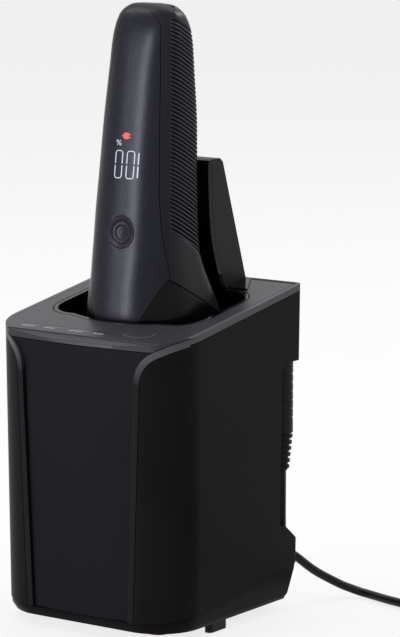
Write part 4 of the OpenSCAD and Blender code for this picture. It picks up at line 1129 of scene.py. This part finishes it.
class STATION_OT_shaver_panel(bpy.types.Operator):
    """The shaver's metallic front panel, open for the button's ring"""
    bl_idname = "station.shaver_panel"
    bl_label = "Shaver panel"

    def execute(self, context):
        levels = stations(0.6, NECK_TOP, 1.2)[:-1] + stations(NECK_TOP, ARCH_START, 1.6)[:-1]
        levels += towards(ARCH_START, PANEL_TOP - 0.01, ARCH_ROWS)
        across = [k / 24 for k in range(-24, 25)]

        def panel_point(w, share):
            x, y = oval_at(w).at(panel_run(w) * abs(share))
            return on_handle(mirrored(x, share), y, w)

        panel = piece_from("shaver_front", *sheet_of(levels, across, panel_point))
        face_out(panel)
        self.cut_ring(panel)
        thicken(panel, context.scene.station_shaver.shell, RIM_ROUND)
        stand_for(panel, "shaver_front_panel", "panel")
        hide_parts("display_window")
        return {"FINISHED"}

    def cut_ring(self, panel):
        """Opens the panel for the ring of the power button."""
        clear_selection()
        bpy.ops.mesh.primitive_cylinder_add(vertices=96, radius=(RING_R + RING_GAP) * MM,
                                            depth=RING_CUT, location=on_handle(0, 0, POWER_W),
                                            rotation=(radians(90) - LEAN, 0, 0))
        cutter = bpy.context.object
        cut = panel.modifiers.new("Ring", "BOOLEAN")
        cut.operation = "DIFFERENCE"
        cut.solver = "EXACT"
        cut.object = cutter
        apply_modifiers(panel)
        bpy.data.objects.remove(cutter)


class STATION_OT_shaver_shell(bpy.types.Operator):
    """The shaver's satin shell, sunk under the grips, and its glossy neck"""
    bl_idname = "station.shaver_shell"
    bl_label = "Shaver shell and neck"

    def execute(self, context):
        sizes = context.scene.station_shaver
        gap = sizes.seam / MM
        sink = sizes.grip_sink / MM
        half = [MIDDLE] + [k / HALF_COLUMNS for k in range(1, HALF_COLUMNS + 1)]
        around = half + [-share for share in reversed(half[:-1])]

        def shell_point(row, side_share):
            y = START_Y
            for step in range(6):
                w = skewed(row, y)
                oval = oval_at(w)
                start = panel_run(w) + gap
                s = start + (oval.total - start) * abs(side_share)
                x, y = oval.at(s)
            out_x, out_y = oval.outward(s)
            drop = sink * blend((inside_grip(x, y, w) - SINK_EDGE) / SINK_FADE)
            return on_handle(mirrored(x - out_x * drop, side_share), y - out_y * drop, w)

        rows = stations(NECK_TOP + gap, ARCH_START, 1.15)[:-1]
        rows += towards(ARCH_START, PANEL_TOP - RIM_GAP, ARCH_ROWS)
        points, faces = sheet_of(rows, around, shell_point)
        self.add_dome(points, faces, (len(rows) - 1) * len(around), len(around))
        shell = piece_from("shaver_shell", points, faces)
        face_out(shell)
        thicken(shell, sizes.shell, RIM_ROUND)
        stand_for(shell, "shaver_housing", "shell")

        foot = HANDLE_FOOT.z - NECK_FOOT_Z

        def neck_point(share, side_share):
            y = START_Y
            for step in range(8):
                low = (y * sin(LEAN) - foot) / cos(LEAN)
                w = low + (neck_line(y) - gap - low) * share
                oval = oval_at(w)
                start = panel_run(w) + gap if w > 0.4 else 0.0
                x, y = oval.at(start + (oval.total - start) * abs(side_share))
            return on_handle(mirrored(x, side_share), y, w)

        levels = [k / NECK_ROWS for k in range(NECK_ROWS + 1)]
        neck = piece_from("shaver_neck_cover", *sheet_of(levels, around, neck_point))
        face_out(neck)
        thicken(neck, sizes.shell, RIM_ROUND)
        stand_for(neck, "shaver_neck", "neck")
        return {"FINISHED"}

    def add_dome(self, points, faces, first, count):
        """Closes the shell over the panel's top and up to the tip."""
        base_w = PANEL_TOP + DOME_GAP
        base = oval_at(base_w)
        rim = []
        for k in range(count):
            x, y = flat_on_handle(points[first + k])
            s = base.run_to_depth(y) if y < 12 else base.run_to_back(abs(x))
            rim.append((s / base.total, 1 if x >= 0 else -1))
        # over the panel's top edge the rim runs across the front
        edge_share = rim[0][0]
        across = [edge_share * (1 - 2 * k / (BRIDGE + 1)) for k in range(1, BRIDGE + 1)][::-1]
        rim += [(abs(a), 1 if a > 0 else -1) for a in across]
        for a in across:
            x, y = oval_at(PANEL_TOP + RIM_GAP).at(abs(a) * base.total)
            points.append(on_handle(mirrored(x, a), y, PANEL_TOP + RIM_GAP))
        previous = list(range(first, first + count))
        previous += range(len(points) - BRIDGE, len(points))
        samples = [row for row in PROFILE if row[0] > base_w]
        for section in samples[::3] + [samples[-1]]:
            oval = Oval(section)
            here = []
            for share, side in rim:
                x, y = oval.at(share * oval.total)
                here.append(len(points))
                points.append(on_handle(x * side, y, section[0]))
            faces += [(previous[k - 1], previous[k], here[k], here[k - 1])
                      for k in range(len(rim))]
            previous = here
        faces.append(tuple(previous))


def flat_on_handle(point):
    """The across and depth of a point in the handle's own frame, in millimetres."""
    y, z = point.y / MM - HANDLE_FOOT.y, point.z / MM - HANDLE_FOOT.z
    return point.x / MM, y * cos(LEAN) - z * sin(LEAN)


class STATION_OT_grips(bpy.types.Operator):
    """The two rubber grips with their slanting ribs"""
    bl_idname = "station.grips"
    bl_label = "Grips"

    def execute(self, context):
        sizes = context.scene.station_shaver
        pitch, height = sizes.rib_pitch / MM, sizes.rib_height / MM
        count = int((GRIP_HEAD - GRIP_FOOT) / pitch) * RIB_STEPS
        rows = [GRIP_FOOT + pitch * k / RIB_STEPS for k in range(count + 1)]
        columns = [k / 44 for k in range(45)]

        def rib_crest(row):
            return abs(sin(pi * (row - GRIP_FOOT) / pitch)) ** RIB_POWER

        def grip_point(row, share):
            along = (row - GRIP_FOOT) / (GRIP_HEAD - GRIP_FOOT)
            front_y = GRIP_FOOT_Y + (GRIP_HEAD_Y - GRIP_FOOT_Y) * along
            y = GRIP_FOOT_Y
            for step in range(6):
                w = row - GRIP_FALL * (y - front_y)
                oval = oval_at(w)
                start = oval.run_to_depth(smooth_through(GRIP_FRONT, w))
                end = oval.run_to_back(GRIP_BACK_X)
                s = start + (end - start) * share
                x, y = oval.at(s)
            fade = blend((s - start) / RIB_FADE) * blend((end - s) / RIB_FADE)
            out_x, out_y = oval.outward(s)
            rise = (rib_crest(row) - 1) * height * fade - GRIP_LIFT
            return x + out_x * rise, y + out_y * rise, w

        spots = [[grip_point(row, share) for share in columns] for row in rows]
        for side, name in ((1, "right"), (-1, "left")):
            def spot(row, column):
                x, y, w = spots[row][column]
                return on_handle(mirrored(x, side), y, w)

            points, faces = sheet_of(range(len(rows)), range(len(columns)), spot)
            grip = piece_from(name + "_ribbed_grip", points, faces)
            # The crest height, kept on the grip for the painted shade in the grooves and the
            # painted highlight on the crests.
            rib = grip.data.attributes.new("rib", "FLOAT", "POINT")
            rib.data.foreach_set("value", [rib_crest(row) for row in rows for share in columns])
            face_out(grip)
            thicken(grip, GRIP_WALL)
            stand_for(grip, name + "_grip", "grip")
        return {"FINISHED"}


TURN_STEPS = 96
TURN_JOIN = 0.000004
TURN_SMOOTH = radians(32)


def turned_piece(name, profile):
    """A piece turned round the power button's axis; the profile holds radius and depth."""
    centre, axis = on_handle(0, 0, POWER_W), Vector((0, cos(LEAN), -sin(LEAN)))
    up = Vector((0, sin(LEAN), cos(LEAN)))
    mesh = bpy.data.meshes.new(name)
    mesh.from_pydata([tuple(centre + (up * r + axis * d) * MM) for r, d in profile],
                     [(k, k + 1) for k in range(len(profile) - 1)], [])
    piece = bpy.data.objects.new(name, mesh)
    bpy.context.scene.collection.objects.link(piece)
    work_on(piece)
    bpy.ops.object.mode_set(mode="EDIT")
    bpy.ops.mesh.select_all(action="SELECT")
    bpy.ops.mesh.spin(steps=TURN_STEPS, angle=2 * pi, center=centre, axis=axis)
    face_out(piece, TURN_JOIN)
    bpy.ops.object.shade_smooth_by_angle(angle=TURN_SMOOTH)
    return piece


def stroke_on(points, width, surface, lift, closed=False):
    """A thin flat stroke along points (across, along), laid on a surface of the handle."""
    pts = [Vector(p) for p in points]
    n = len(pts)
    left, right = [], []
    for k, p in enumerate(pts):
        before = pts[(k - 1) % n] if closed or k else p
        after = pts[(k + 1) % n] if closed or k < n - 1 else p
        a = (p - before).normalized() if (p - before).length > 1e-6 else (after - p).normalized()
        b = (after - p).normalized() if (after - p).length > 1e-6 else a
        middle = (a + b).normalized()
        side = Vector((-middle.y, middle.x)) * width / 2 / max(0.5, middle.dot(a))
        left.append(p + side)
        right.append(p - side)
    out = [on_handle(q.x, surface(q.x, q.y) - lift, q.y) for q in left + right]
    faces = [(k, (k + 1) % n, n + (k + 1) % n, n + k) for k in range(n if closed else n - 1)]
    return out, faces


def skin_depth(x, w):
    """Depth of the panel's skin at a point of its front view."""
    oval = oval_at(w)
    return oval.at(oval.run_to_width(abs(x)))[1]


def marks_piece(name, strokes, node, material):
    """Several strokes as one thin solid piece."""
    points, faces = [], []
    for more_points, more_faces in strokes:
        base = len(points)
        points += more_points
        faces += [tuple(base + k for k in face) for face in more_faces]
    piece = piece_from(name, points, faces, smooth=False)
    face_out(piece, join=0)
    return settle(film_of(piece), node, material)


def split_line(a, b, count):
    return [(a[0] + (b[0] - a[0]) * k / count, a[1] + (b[1] - a[1]) * k / count)
            for k in range(count + 1)]


DISPLAY_W = 65.9
STROKE = 0.43
MARK_LIFT = 0.05
ZEROS = [(-5.1, -1.7), (0.6, 4.2)]  # the digits' left and right sides
SPLIT, SIDE_END, ONE_END = 0.35, 0.75, 0.5
CORNER_X, CORNER_W, BAR_END = 0.62, 0.72, 0.65
ONE_X = 6.1
PERCENT = (-4.0, 74.5)
PERCENT_RING, PERCENT_STROKE = 0.4, 0.27
PLUG_MARK = (-0.5, 77.3)
PLUG_OUTLINE = [(-0.9, 1.3), (0.8, 1.3), (1.2, 0.9), (1.2, -0.9), (0.8, -1.3), (-0.9, -1.3),
                (-1.5, -0.7), (-1.5, 0.7)]


class STATION_OT_display(bpy.types.Operator):
    """Lit digits, percent sign and charging mark, upside down on the docked shaver"""
    bl_idname = "station.display"
    bl_label = "Display"

    def execute(self, context):
        h = context.scene.station_shaver.digit_height / MM
        low, middle, high = DISPLAY_W - h / 2, DISPLAY_W, DISPLAY_W + h / 2
        strokes = []

        def bar(a, b, width=STROKE, count=4):
            strokes.append(stroke_on(split_line(a, b, count), width, skin_depth, MARK_LIFT))

        for left, right in ZEROS:
            for x in (left, right):
                bar((x, middle + SPLIT), (x, high - SIDE_END))
                bar((x, middle - SPLIT), (x, low + SIDE_END))
            for w, inward in ((high, -1), (low, 1)):
                bar((left + BAR_END, w), (right - BAR_END, w), STROKE * 0.8)
                for x, step in ((left, 1), (right, -1)):
                    bar((x, w + inward * CORNER_W), (x + step * CORNER_X, w), STROKE * 0.75, 1)
        bar((ONE_X, middle + SPLIT), (ONE_X, high - ONE_END), STROKE * 1.3)
        bar((ONE_X, middle - SPLIT), (ONE_X, low + ONE_END), STROKE * 1.3)

        # percent sign: a slanting bar and two small rings
        x, w = PERCENT
        bar((x + 0.9, w + 1.0), (x - 0.85, w - 1.0), 0.28)
        for dx, dw in ((-0.75, 0.62), (0.75, -0.62)):
            ring = [(x + dx + PERCENT_RING * cos(pi * k / 8),
                     w + dw + PERCENT_RING * sin(pi * k / 8)) for k in range(16)]
            strokes.append(stroke_on(ring, PERCENT_STROKE, skin_depth, MARK_LIFT, closed=True))
        marks_piece("display_digits", strokes, "display_window", "display")

        # charging mark: a small plug lying on its side
        x, w = PLUG_MARK
        outline = [on_handle(x + dx, skin_depth(x + dx, w + dw) - MARK_LIFT, w + dw)
                   for dx, dw in PLUG_OUTLINE]
        strokes = [(outline, [tuple(range(len(outline)))])]
        for dw in (-0.6, 0.6):
            bar((x + 1.15, w + dw), (x + 2.1, w + dw), 0.45, 2)
        bar((x - 1.45, w), (x - 2.3, w), 0.55, 2)
        marks_piece("charge_mark", strokes, "display_window", "charge")
        return {"FINISHED"}


KEY_DISH = 0.55
RING_PROFILE = [
    (POWER_R + 0.1, 2.4), (POWER_R + 0.1, 0.55), (POWER_R + 0.2, 0.42), (RING_R - 1.15, 0.2),
    (RING_R - 0.75, 0.12), (RING_R - 0.5, 0.05), (RING_R - 0.28, 0.08), (RING_R - 0.05, 0.28),
    (RING_R, 0.5), (RING_R, 2.4), (POWER_R + 0.1, 2.4)]
KEY_PROFILE = [
    (0, 0.62), (2.35, KEY_DISH), (2.55, 0.5), (2.7, 0.3), (2.9, 0.18), (3.15, 0.18), (3.35, 0.3),
    (3.5, 0.42), (POWER_R - 0.15, 0.4), (POWER_R, KEY_DISH), (POWER_R, 3.0), (0, 3.0)]
SYMBOL_R, SYMBOL_STROKE, SYMBOL_LIFT = 1.25, 0.3, 0.02


class STATION_OT_power(bpy.types.Operator):
    """Ring and power button with its symbol"""
    bl_idname = "station.power"
    bl_label = "Power button"

    def execute(self, context):
        stand_for(turned_piece("power_ring", RING_PROFILE), "button_ring", "ring")
        stand_for(turned_piece("power_key", KEY_PROFILE), "power_button", "ring")
        arc = [(SYMBOL_R * cos(radians(a)), POWER_W - SYMBOL_R * sin(radians(a)))
               for a in range(-235, 56, 10)]
        bar = [(0, POWER_W - 1.75), (0, POWER_W - 0.35)]
        strokes = [stroke_on(line, SYMBOL_STROKE, lambda x, w: KEY_DISH, SYMBOL_LIFT)
                   for line in (arc, bar)]
        marks_piece("power_symbol", strokes, "power_button", "ink_dark")
        return {"FINISHED"}


GROUPS = {"station_sizes": StationSizes, "station_shaver": ShaverSizes,
          "station_lead": LeadSizes, "station_colours": StationColours,
          "station_studio": StudioSettings}
STEPS = [STATION_OT_finishes, STATION_OT_stage, STATION_OT_plug, STATION_OT_lead,
         STATION_OT_inside, STATION_OT_housing, STATION_OT_well, STATION_OT_shaver_panel,
         STATION_OT_shaver_shell, STATION_OT_grips, STATION_OT_display, STATION_OT_power]


class STATION_PT_panel(bpy.types.Panel):
    """Lists the station's pieces and their sizes"""
    bl_idname = "STATION_PT_panel"
    bl_label = "Cleaning station"
    bl_space_type = "VIEW_3D"
    bl_region_type = "UI"
    bl_category = "Station"

    def draw(self, context):
        for step in STEPS:
            self.layout.operator(step.bl_idname)
        for name, group in GROUPS.items():
            box = self.layout.box()
            for label in group.__annotations__:
                box.prop(getattr(context.scene, name), label)


CLASSES = [*GROUPS.values(), *STEPS, STATION_PT_panel]


def register():
    for item in CLASSES:
        bpy.utils.register_class(item)
    for name, group in GROUPS.items():
        setattr(bpy.types.Scene, name, PointerProperty(type=group))


def unregister():
    for name in GROUPS:
        delattr(bpy.types.Scene, name)
    for item in reversed(CLASSES):
        bpy.utils.unregister_class(item)


def main():
    register()
    for step in STEPS:
        getattr(bpy.ops.station, step.bl_idname.split(".")[1])()


if __name__ == "__main__":
    main()
